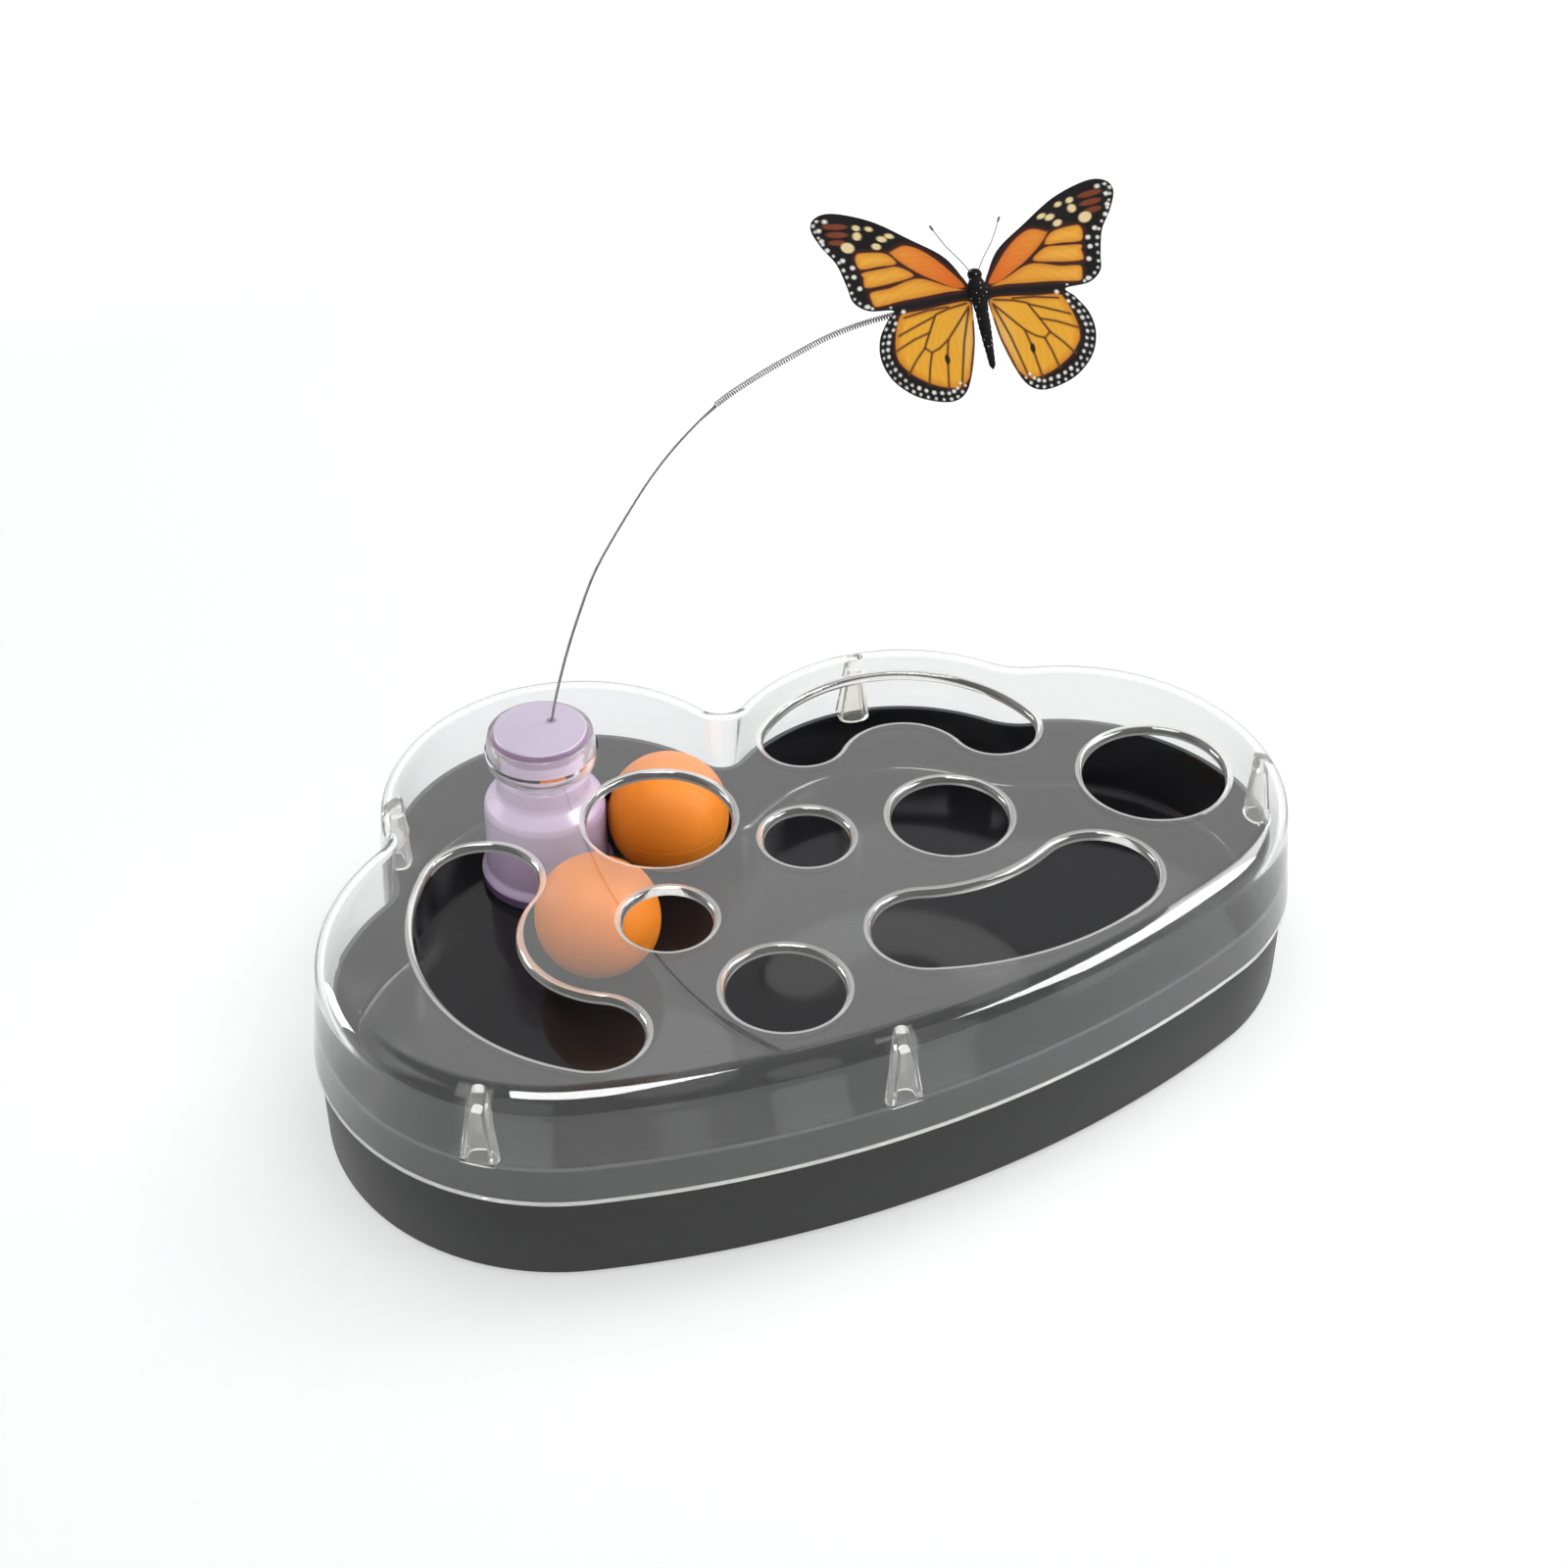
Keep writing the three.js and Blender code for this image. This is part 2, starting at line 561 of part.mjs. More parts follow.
// Circuit board standing behind motor and cell, with switch, charging port and chip.
const BOARD_T = 1.3;
const BOARD_FACE = BOARD_Y + BOARD_T;
const boardY = (y) => uy + y;
const BOARD_HALF = Math.sqrt((INNER_R - 0.9) ** 2 - BOARD_FACE ** 2);
const BOARD_TOP = GEAR_PLATE_Z - 0.6;
add('circuit_board', box(
  ux - BOARD_HALF, ux + BOARD_HALF, boardY(BOARD_Y), boardY(BOARD_FACE), FLOOR_Z + PLATE_T, BOARD_TOP,
), green);
add('control_chip', box(ux - 2.5, ux + 2.5, boardY(BOARD_Y - 1.3), boardY(BOARD_Y), 30, 35), blackPlastic);
let port = solid(box(ux - 4.5, ux + 4.5, boardY(BOARD_FACE), boardY(BODY_R - 0.9), USB_Z - 1.6, USB_Z + 1.6));
port = port.subtract(solid(box(
  ux - 4.1, ux + 4.1, boardY(BOARD_FACE + 1.4), boardY(BODY_R + 1), USB_Z - 1.2, USB_Z + 1.2,
)));
port = port.add(solid(box(
  ux - 3.3, ux + 3.3, boardY(BOARD_FACE + 1.2), boardY(BODY_R - 2.3), USB_Z - 0.35, USB_Z + 0.35,
)));
add('charging_port', port, steel);
let tact = solid(box(ux - 3, ux + 3, boardY(BOARD_FACE), boardY(SWITCH_FACE), BUTTON_Z - 3, BUTTON_Z + 3));
tact = tact.subtract(solid(toBack(rod(0, 0, 1.3, SWITCH_FACE - 2, SWITCH_FACE + 2, 16), BUTTON_Z)));
add('switch_body', tact, blackPlastic);
const BUTTON_FACE = SWITCH_FACE + 1;
add('switch_plunger', toBack(rod(0, 0, 1, SWITCH_FACE - 1.1, BUTTON_FACE, 16), BUTTON_Z), white);
add('power_button', toBack(turned([
  [0, BUTTON_FACE], [3.2, BUTTON_FACE], [3.2, BUTTON_FACE + 1.2], [2.4, BUTTON_FACE + 1.2], [2.4, BODY_R + 0.3],
  [1.9, BODY_R + 0.8], [0, BODY_R + 0.8],
], 0, 0, 22), BUTTON_Z), lilacCap);

// Short insulated leads with rounded bends.
function lead(name, points, look) {
  const [a, b, c] = points.map((p) => new THREE.Vector3(ux + p[0], uy + p[1], p[2]));
  const path = new THREE.CurvePath();
  const bend = 1.1;
  const p = b.clone().sub(a).setLength(bend);
  const q = c.clone().sub(b).setLength(bend);
  path.add(new THREE.LineCurve3(a, b.clone().sub(p)));
  path.add(new THREE.QuadraticBezierCurve3(b.clone().sub(p), b, b.clone().add(q)));
  path.add(new THREE.LineCurve3(b.clone().add(q), c));
  add(name, sweep(path.getSpacedPoints(12), 0.45, 6, p.normalize(), q.normalize()), look);
}
const LEADS = [
  ['motor_lead_red', MOTOR_X + 2, 3, 19.6, MOTOR_Z - 2, redLead],
  ['motor_lead_black', MOTOR_X - 2, 3, 19.6, MOTOR_Z - 2, blackPlastic],
  ['cell_lead_red', CELL_X - 1.6, 3.2, 38.6, CELL_TOP, redLead],
  ['cell_lead_black', CELL_X + 1.6, 3.2, 38.6, CELL_TOP, blackPlastic],
];
for (const [name, x, y, z, end, look] of LEADS) {
  lead(name, [[x, BOARD_Y, z], [x, y, z], [x, y, end]], look);
}

// Gear train between two plates: pinion, stepped idler wheel, output wheel with its long shaft.
function gear(teeth, x, y, z0, z1, phase) {
  const pitchR = (teeth * MODULE) / 2;
  const outer = pitchR + 0.36;
  const root = pitchR - 0.52;
  const points = [];
  for (let i = 0; i < teeth; i += 1) {
    const a = (2 * Math.PI * (i + phase)) / teeth;
    const w = (2 * Math.PI) / teeth;
    for (const [r, k] of [[root, -0.3], [outer, -0.13], [outer, 0.13], [root, 0.3]]) {
      points.push([x + r * Math.cos(a + k * w), y + r * Math.sin(a + k * w)]);
    }
  }
  const skin = [];
  strip(skin, at(points, z0), at(points, z1));
  face(skin, at(points, z0), [], false);
  face(skin, at(points, z1), [], true);
  return solid(skinGeometry(skin));
}
const rPinion = (T_PINION * MODULE) / 2;
const rBig = (T_IDLER_BIG * MODULE) / 2;
const rSmall = (T_IDLER_SMALL * MODULE) / 2;
const rOutput = (T_OUTPUT * MODULE) / 2;
const idler = crossing([ux + MOTOR_X, uy], rPinion + rBig, [ux, uy], rSmall + rOutput, 1);
const GEARS_Z = SHOULDER_Z;
const UPPER_PLATE_Z = GEARS_Z + 5.6;
const SPACERS = [[10, 2], [2, -10.2]];

let lower = solid(rod(ux, uy, INNER_R - 0.4, GEAR_PLATE_Z, GEARS_Z, 30));
lower = lower.subtract(solid(rod(ux + MOTOR_X, uy, 1.6, GEAR_PLATE_Z - 1, GEARS_Z + 1, 16)));
lower = lower.subtract(solid(rod(idler[0], idler[1], 1.0, GEAR_PLATE_Z - 1, GEARS_Z + 1, 14)));
lower = lower.subtract(solid(rod(ux, uy, SHAFT_R + 0.35, GEAR_PLATE_Z - 1, GEARS_Z + 1, 18)));
let upper = solid(rod(ux, uy, INNER_R - 5.1, UPPER_PLATE_Z, UPPER_PLATE_Z + 1.2, 30));
upper = upper.subtract(solid(rod(idler[0], idler[1], 1.0, UPPER_PLATE_Z - 1, UPPER_PLATE_Z + 3, 14)));
upper = upper.subtract(solid(rod(ux, uy, SHAFT_R + 0.35, UPPER_PLATE_Z - 1, UPPER_PLATE_Z + 3, 18)));
SPACERS.forEach(([x, y], i) => {
  lower = lower.add(solid(rod(ux + x, uy + y, 2, GEARS_Z - 0.5, UPPER_PLATE_Z, 16)));
  lower = lower.subtract(solid(rod(ux + x, uy + y, 1.05, GEARS_Z + 1.2, UPPER_PLATE_Z + 1, 12)));
  upper = upper.subtract(solid(rod(ux + x, uy + y, 1.05, UPPER_PLATE_Z - 1, UPPER_PLATE_Z + 3, 12)));
  add(`gearbox_screw_${i + 1}`, screw(ux + x, uy + y, UPPER_PLATE_Z + 1.2, GEARS_Z + 2, 0.8, 1.7), steel);
});
add('gearbox_lower_plate', lower, white);
add('gearbox_upper_plate', upper, white);

const axle = [
  [0, GEAR_PLATE_Z], [0.75, GEAR_PLATE_Z], [0.75, GEARS_Z], [1.6, GEARS_Z], [1.6, GEARS_Z + 0.4],
  [0.75, GEARS_Z + 0.4], [0.75, UPPER_PLATE_Z + 1.2], [0, UPPER_PLATE_Z + 1.2],
];
add('idler_axle', turned(axle, idler[0], idler[1], 14), steel);
// Each wheel is turned so that its teeth fall into the gaps of its neighbour on the line of centres.
const mesh1 = angle(sub([ux + MOTOR_X, uy], idler));
const mesh2 = angle(sub([ux, uy], idler));
const phaseOf = (a, teeth) => (a * teeth) / (2 * Math.PI);
const bigPhase = phaseOf(mesh1, T_IDLER_BIG);
const pinionPhase = phaseOf(mesh1 + Math.PI, T_PINION) + 0.5;
const smallPhase = phaseOf(mesh2, T_IDLER_SMALL);
const outputPhase = phaseOf(mesh2 + Math.PI, T_OUTPUT) + 0.5;
add('motor_pinion', gear(T_PINION, ux + MOTOR_X, uy, GEARS_Z + 0.4, GEARS_Z + 2.6, pinionPhase)
  .add(solid(rod(ux + MOTOR_X, uy, 0.9, GEAR_PLATE_Z - 0.9, GEARS_Z + 1, 12))), brass);
add('idler_gear', gear(T_IDLER_BIG, idler[0], idler[1], GEARS_Z + 0.4, GEARS_Z + 2.6, bigPhase)
  .add(gear(T_IDLER_SMALL, idler[0], idler[1], GEARS_Z + 2.4, GEARS_Z + 5.2, smallPhase))
  .subtract(solid(rod(idler[0], idler[1], 1.0, GEARS_Z, GEARS_Z + 6, 14))), white);
const SHAFT_TOP = 70;
add('output_gear', gear(T_OUTPUT, ux, uy, GEARS_Z + 3, GEARS_Z + 5, outputPhase)
  .add(solid(turned([
    [0, GEAR_PLATE_Z], [SHAFT_R, GEAR_PLATE_Z], [SHAFT_R, GEARS_Z], [2.0, GEARS_Z], [2.0, GEARS_Z + 4],
    [SHAFT_R, GEARS_Z + 4], [SHAFT_R, SHAFT_TOP], [0, SHAFT_TOP],
  ], ux, uy, 18))), white);

// Clear collar on the housing and the cap that turns in its mouth.
const collar = [
  [SHAFT_R + 0.5, UNIT_TOP], [NECK_R, UNIT_TOP], [16.4, 59.4], [17.5, 61.6], [17.8, 63.6], [17.6, 66.6],
  [17.1, COLLAR_TOP], [15.7, COLLAR_TOP], [16.1, 66.5], [16.2, 63.6], [15.8, 61.8], [14.6, 59.6],
  [13.8, UNIT_TOP + 1.2], [SHAFT_R + 0.5, UNIT_TOP + 1.2], [SHAFT_R + 0.5, UNIT_TOP],
];
let collarBody = solid(turned(collar, ux, uy, 28));
[-9, 9].forEach((x, i) => {
  collarBody = collarBody.subtract(solid(rod(ux + x, uy, 1.1, UNIT_TOP - 1, UNIT_TOP + 3, 14)));
  add(`collar_screw_${i + 1}`, screw(ux + x, uy, UNIT_TOP + 1.2, 53.6, 0.85, 1.8), steel);
});
add('clear_collar', collarBody, clear);

const [wx, wy] = WIRE_IN;
let cap = solid(turned([
  [0, 72.6], [13, 72.6], [13.6, 72], [13.8, 69.5], [15.2, 69.5], [15.3, 71], [16.6, 71], [17, 71.6],
  [16.4, 73.2], [15.6, 74.7], [15.1, CAP_TOP], [0, CAP_TOP],
], ux, uy, 28));
cap = cap.add(solid(rod(ux, uy, 3.3, 61, 74, 20))).subtract(solid(rod(ux, uy, SHAFT_R + 0.3, 60, SHAFT_TOP, 18)));
const SLEEVE_Z = 66;
cap = cap.add(solid(rod(ux + wx, uy + wy, 2.3, SLEEVE_Z + 0.8, 74, 16)));
cap = cap.subtract(solid(rod(ux + wx, uy + wy, 1.45, SLEEVE_Z, CAP_TOP + 1, 16)));
add('rotor_cap', cap, lilacCap);
add('wire_sleeve', turned([
  [0, SLEEVE_Z], [1.9, SLEEVE_Z], [1.9, SLEEVE_Z + 0.8], [1.15, SLEEVE_Z + 0.8], [1.15, CAP_TOP],
  [0.8, CAP_TOP], [0.8, SLEEVE_Z + 0.6], [0, SLEEVE_Z + 0.6],
], ux + wx, uy + wy, 16), brass);

// The bent wire, its ferrule and the close-wound spring that ends under the butterfly.
const onPlane = (out, z) => new THREE.Vector3(ux + wx, uy + wy, z).addScaledVector(PLANE, out);
const wirePath = new THREE.CatmullRomCurve3([
  onPlane(0, SLEEVE_Z + 0.6), onPlane(0, 72), onPlane(0.9, 79), ...WIRE_POINTS.map(([o, z]) => onPlane(o, z)),
], false, 'centripetal');
wirePath.arcLengthDivisions = 800;
const total = wirePath.getLength();
const springEnd = total - SOCKET_BACK;
const springStart = springEnd - SPRING_LENGTH;
const onWire = (s) => wirePath.getPointAt(s / total);
const along = (s) => wirePath.getTangentAt(s / total);
const rodEnd = springStart - FERRULE_L / 2;
const rodPoints = [];
const ROD_STEPS = 30;
for (let i = 0; i <= ROD_STEPS; i += 1) {
  rodPoints.push(onWire((rodEnd * i) / ROD_STEPS));
}
add('wire_rod', sweep(rodPoints, WIRE_R, 7, new THREE.Vector3(0, 0, 1), along(rodEnd)), steel);

const upright = PLANE.clone().cross(new THREE.Vector3(0, 0, 1));
function placed(geometry, origin, axis) {
  const turn = new THREE.Matrix4().makeBasis(upright, axis.clone().cross(upright), axis);
  return geometry.applyMatrix4(turn.setPosition(origin));
}
const ferrule = turned([
  [0, FERRULE_L / 2], [WIRE_R + 0.3, FERRULE_L / 2], [WIRE_R + 0.3, 0], [1.15, 0], [1.15, FERRULE_L],
  [0, FERRULE_L],
], 0, 0, 12);
const f0 = springStart - FERRULE_L;
const fDir = onWire(springStart).sub(onWire(f0)).normalize();
add('wire_ferrule', placed(ferrule, onWire(springStart).addScaledVector(fDir, -FERRULE_L), fDir), steel);

const coil = [];
const wind = (s, phi) => {
  const t = along(s);
  const n = upright.clone().cross(t);
  return onWire(s).addScaledVector(upright, SPRING_R * Math.cos(phi)).addScaledVector(n, SPRING_R * Math.sin(phi));
};
const lead0 = 2 * SPRING_WIRE_R;
const EASE = [[0, 0], [lead0, 0], [lead0 + 0.36, 0.2], [lead0 + 0.62, 0.75]];
const curls = Math.round((SPRING_LENGTH - 2 * (lead0 + 0.62)) / SPRING_PITCH);
const woundLength = SPRING_LENGTH - 2 * (lead0 + 0.62);
for (const [s, phi] of EASE) coil.push(wind(springStart + s, phi));
const phi0 = 0.75;
const windings = 2 * Math.PI * curls - 2 * phi0;
const coilSteps = Math.round((8 * windings) / (2 * Math.PI));
for (let i = 1; i < coilSteps; i += 1) {
  const k = i / coilSteps;
  coil.push(wind(springStart + lead0 + 0.62 + woundLength * k, phi0 + windings * k));
}
for (const [s, phi] of [...EASE].reverse()) coil.push(wind(springEnd - s, 2 * Math.PI * curls - phi));
add('wire_spring', sweep(coil, SPRING_WIRE_R, 5, along(springStart), along(springEnd)), steel);
let least = Infinity;
for (let i = 0; i < coil.length; i += 1) {
  for (let j = i + 5; j < coil.length; j += 1) {
    least = Math.min(least, coil[i].distanceTo(coil[j]));
  }
}
console.log(`spring curls ${curls}, least self gap ${(least - 2 * SPRING_WIRE_R).toFixed(2)} mm`);

// Butterfly. Its own frame has X along the right wing, Y to the head and Z out of the wings.
const level = PLANE.clone();
const CAMERA_TILT = 38.06;
const ct = (CAMERA_TILT * Math.PI) / 180;
const away = new THREE.Vector3(0.4493, 0.8934, 0);
const rise = away.clone().multiplyScalar(Math.sin(ct)).add(new THREE.Vector3(0, 0, Math.cos(ct)));
const normal = level.clone().cross(rise);
const tilt = (TILT * Math.PI) / 180;
const wingX = level.clone().multiplyScalar(Math.cos(tilt)).addScaledVector(rise, Math.sin(tilt));
const wingY = rise.clone().multiplyScalar(Math.cos(tilt)).addScaledVector(level, -Math.sin(tilt));
const wireEnd = onWire(total);
const thorax = wireEnd.clone().addScaledVector(normal, BODY_LIFT);
const toPlace = new THREE.Matrix4().makeBasis(wingX, wingY, normal).setPosition(thorax);

const bodyProfile = [
  [0, 6.6], [0.9, 6.3], [1.5, 5.4], [1.4, 4.4], [0.9, 3.7], [1.7, 2.9], [2.2, 1], [2.1, -1.5], [1.3, -3.8],
  [1.7, -6.5], [1.75, -12], [1.4, -18], [0.8, -22], [0, -23],
].reverse();
let butterfly = solid(new THREE.LatheGeometry(bodyProfile.map((p) => new THREE.Vector2(...p)), 12));
for (const s of [-1, 1]) {
  const feeler = new THREE.CatmullRomCurve3([
    new THREE.Vector3(0.5 * s, 5.6, 0.2), new THREE.Vector3(2.2 * s, 9.5, 1), new THREE.Vector3(5.2 * s, 15, 1.2),
    new THREE.Vector3(9.6 * s, 21, 1),
  ]).getSpacedPoints(9);
  butterfly = butterfly.add(solid(sweep(feeler, (k) => (k > 0.8 ? 0.45 : 0.26), 6)));
}
let body = solid(fromSolid(butterfly).applyMatrix4(toPlace));
const sDir = along(springEnd);
const socket = turned([[0, 0], [1.15, 0], [1.15, 6.4], [0, 6.4]], 0, 0, 12);
body = body.add(solid(placed(socket, onWire(springEnd), sDir)));
add('butterfly_body', body, blackPlastic);

function wing(s) {
  const curve = new THREE.SplineCurve([...WING, WING[0]].slice(0, WING.length).map((p) => new THREE.Vector2(...p)));
  const shape = new THREE.Shape(curve.getSpacedPoints(58).map((p) => new THREE.Vector2(p.x * s, p.y)));
  const g = new THREE.ExtrudeGeometry(shape, { depth: WING_T, bevelEnabled: false, steps: 1 });
  return g.translate(0, 0, -WING_T / 2).applyMatrix4(toPlace);
}
add('wing_right', wing(1), wingFilm);
add('wing_left', wing(-1), wingFilm);

const out = (v) => [v.x, v.y, v.z].map((n) => n.toFixed(3)).join(', ');
console.log(`hinge right at ${out(new THREE.Vector3(2.6, 0, 0).applyMatrix4(toPlace))}`);
console.log(`hinge left at ${out(new THREE.Vector3(-2.6, 0, 0).applyMatrix4(toPlace))}, along ${out(wingY)}`);
console.log(`idler axis at ${idler.map((n) => n.toFixed(3)).join(', ')}`);

export default group;
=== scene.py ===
# %% [markdown]
# A cat toy in the shape of a cloud: a dark tray, a clear lid with play holes, two orange balls and a
# butterfly that a small motor unit carries round on a bent wire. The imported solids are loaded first. They
# give every size and place, so each piece below is made where its solid already stands.

# %% Load the frame
import json
import math

import bmesh
import bpy
import numpy as np
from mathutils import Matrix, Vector
from mathutils.kdtree import KDTree


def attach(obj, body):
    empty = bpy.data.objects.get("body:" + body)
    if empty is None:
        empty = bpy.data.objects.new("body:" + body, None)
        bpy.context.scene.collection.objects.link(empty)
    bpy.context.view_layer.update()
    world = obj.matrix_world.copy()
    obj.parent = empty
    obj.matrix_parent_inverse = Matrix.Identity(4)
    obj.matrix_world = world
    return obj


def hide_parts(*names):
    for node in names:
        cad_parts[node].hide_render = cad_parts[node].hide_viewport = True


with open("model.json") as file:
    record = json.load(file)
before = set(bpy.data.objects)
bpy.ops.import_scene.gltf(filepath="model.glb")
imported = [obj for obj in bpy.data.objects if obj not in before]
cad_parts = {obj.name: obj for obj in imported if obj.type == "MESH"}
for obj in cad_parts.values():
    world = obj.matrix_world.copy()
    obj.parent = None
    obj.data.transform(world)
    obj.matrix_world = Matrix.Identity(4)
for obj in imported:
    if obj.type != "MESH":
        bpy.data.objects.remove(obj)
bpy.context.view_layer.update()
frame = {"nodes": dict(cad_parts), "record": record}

scene = bpy.context.scene
scene.view_settings.view_transform = "Standard"
MM = 0.001

# %% [markdown]
# The camera comes first, so that every later render can be laid over the photograph. It looks down from the
# front left with a long lens, level with the ground from side to side.

# %% Camera
CAMERA_PLACE = Vector((-0.32245, -0.63936, 0.64165))
CAMERA_AIM = Vector((0.00673, 0.01515, 0.068))
camera_data = bpy.data.cameras.new("camera")
camera_data.lens = 67.5
camera_data.sensor_width = 36
camera = bpy.data.objects.new("camera", camera_data)
scene.collection.objects.link(camera)
camera.location = CAMERA_PLACE
camera.rotation_euler = (CAMERA_AIM - CAMERA_PLACE).to_track_quat("-Z", "Y").to_euler()
scene.camera = camera
print("camera", round((CAMERA_AIM - CAMERA_PLACE).length, 3), "m from its aim")

# %% [markdown]
# The cloud is a chain of arcs that touch each other: four lobes, three notches and one wide front arc. Moving
# the line outwards only changes the radii, so every ring of the tray and the lid has the same points, and one
# ring can be extruded into the next.

# %% Plan of the cloud
LOBES = [((-84.5, -18.6), 73.6), ((-53.1, 45.0), 61.1), ((49.4, 11.0), 63.4), ((90.7, -24.5), 67.3)]
NOTCHES = [10.7, 5.9, 21.2]
FRONT_R = 351.5


def crossing(c1, r1, c2, r2, side):
    d = np.subtract(c2, c1)
    length = np.hypot(*d)
    along = (r1 * r1 - r2 * r2 + length * length) / (2 * length)
    across = side * math.sqrt(r1 * r1 - along * along)
    return np.array(c1) + along * d / length + across * np.array((-d[1], d[0])) / length


def heading(a, b):
    return math.atan2(b[1] - a[1], b[0] - a[0])


def arc(centre, r, start, end, steps, clockwise):
    if clockwise:
        while end > start:
            end -= 2 * math.pi
    else:
        while end < start:
            end += 2 * math.pi
    t = start + (end - start) * np.arange(steps) / steps
    return np.stack([centre[0] + r * np.cos(t), centre[1] + r * np.sin(t)], 1)


notch_centres = [
    crossing(LOBES[i][0], LOBES[i][1] + r, LOBES[i + 1][0], LOBES[i + 1][1] + r, 1) for i, r in enumerate(NOTCHES)
]
front_centre = crossing(LOBES[3][0], FRONT_R - LOBES[3][1], LOBES[0][0], FRONT_R - LOBES[0][1], -1)


def outline(off, lobe_steps=44, notch_steps=18, front_steps=36):
    parts = []
    for i, (c, r) in enumerate(LOBES):
        start = heading(front_centre, c) if i == 0 else heading(c, notch_centres[i - 1])
        end = heading(front_centre, c) if i == 3 else heading(c, notch_centres[i])
        parts.append(arc(c, r + off, start, end, lobe_steps, True))
        if i < 3:
            n = notch_centres[i]
            parts.append(arc(n, NOTCHES[i] - off, heading(n, c), heading(n, LOBES[i + 1][0]), notch_steps, False))
    last, first = heading(front_centre, LOBES[0][0]), heading(front_centre, LOBES[3][0])
    parts.append(arc(front_centre, FRONT_R + off, first, last, front_steps, True))
    return np.concatenate(parts)[::-1]


def at(ring, z):
    return np.column_stack([ring, np.full(len(ring), z)]) * MM


print("points in one ring", len(outline(0)))

# %% [markdown]
# Two helpers do most of the modelling. The first adds a circle, moves its points onto a ring and extrudes it
# from ring to ring, as one would pull a wall up by hand. The second spins a closed profile round an axis.

# %% Modelling helpers
SAME_LEVEL = WELD = 1e-6


def start_piece():
    if bpy.context.mode != "OBJECT":
        bpy.ops.object.mode_set(mode="OBJECT")
    bpy.ops.object.select_all(action="DESELECT")


def take(piece):
    start_piece()
    piece.select_set(True)
    bpy.context.view_layer.objects.active = piece


def lookup(points):
    """A search tree that gives the nearest of the points, as (place, number, distance)."""
    tree = KDTree(len(points))
    for i, p in enumerate(points):
        tree.insert(p, i)
    tree.balance()
    return tree


def pull_rings(mesh, rings):
    """The newly added circle in edit mode is moved to the first ring and extruded through the others."""
    bm = bmesh.from_edit_mesh(mesh)
    fresh = [v for v in bm.verts if v.select]
    for v, p in zip(fresh, rings[0]):
        v.co = p
    bmesh.update_edit_mesh(mesh)
    for last, ring in zip(rings, rings[1:]):
        bpy.ops.mesh.extrude_region()
        tree = lookup(last)
        bm = bmesh.from_edit_mesh(mesh)
        for v in bm.verts:
            if v.select:
                v.co = ring[tree.find(v.co)[1]]
        bmesh.update_edit_mesh(mesh)


def named(name):
    piece = bpy.context.object
    piece.name = piece.data.name = name
    return piece


def new_rings(name, rings):
    start_piece()
    bpy.ops.mesh.primitive_circle_add(vertices=len(rings[0]), radius=1)
    piece = named(name)
    bpy.ops.object.mode_set(mode="EDIT")
    bpy.ops.mesh.select_all(action="SELECT")
    pull_rings(piece.data, rings)
    return piece


def add_rings(piece, rings):
    bpy.ops.mesh.select_all(action="DESELECT")
    bpy.ops.mesh.primitive_circle_add(vertices=len(rings[0]), radius=1)
    pull_rings(piece.data, rings)


def select_open_edges(piece, z):
    bpy.ops.mesh.select_all(action="DESELECT")
    bpy.ops.mesh.select_mode(type="EDGE")
    bm = bmesh.from_edit_mesh(piece.data)
    for e in bm.edges:
        e.select = e.is_boundary and all(abs(v.co.z - z * MM) < SAME_LEVEL for v in e.verts)
    bmesh.update_edit_mesh(piece.data)


def fill_level(piece, z):
    """Fills between all open edges at one height, and leaves the holes among them open."""
    select_open_edges(piece, z)
    bpy.ops.mesh.fill(use_beauty=True)
    bpy.ops.mesh.select_mode(type="VERT")


def close_piece(piece, angle=35):
    """Leaves edit mode, merges doubles, turns the faces outwards and smooths up to an angle."""
    bpy.ops.mesh.select_all(action="SELECT")
    bpy.ops.mesh.remove_doubles(threshold=WELD)
    bpy.ops.mesh.dissolve_degenerate(threshold=WELD)
    bpy.ops.mesh.select_all(action="SELECT")
    bpy.ops.mesh.normals_make_consistent(inside=False)
    bpy.ops.object.mode_set(mode="OBJECT")
    bpy.ops.object.transform_apply(location=True, rotation=True, scale=True)
    smooth_piece(piece, angle)
    return piece


def smooth_piece(piece, angle):
    take(piece)
    bpy.ops.object.shade_smooth_by_angle(angle=math.radians(angle))


def apply_modifier(piece, kind, **settings):
    modifier = piece.modifiers.new("step", kind)
    for key, value in settings.items():
        setattr(modifier, key, value)
    take(piece)
    bpy.ops.object.modifier_apply(modifier=modifier.name)


def keep_flats(piece):
    """Level faces are shaded flat, so the long thin ones among them show no streaks."""
    for face in piece.data.polygons:
        if abs(face.normal.z) > 0.9999:
            face.use_smooth = False


def cut(piece, tool, operation="DIFFERENCE"):
    apply_modifier(piece, "BOOLEAN", object=tool, operation=operation, solver="EXACT")
    bpy.data.objects.remove(tool, do_unlink=True)


def turned(name, profile, centre, steps=96):
    """Spins a closed profile of (radius, height) points round an upright axis."""
    x, y = centre
    piece = new_rings(name, [[((x + r) * MM, y * MM, z * MM) for r, z in profile]])
    bpy.ops.mesh.spin(steps=steps, angle=2 * math.pi, center=(x * MM, y * MM, 0), axis=(0, 0, 1))
    return close_piece(piece, 50)


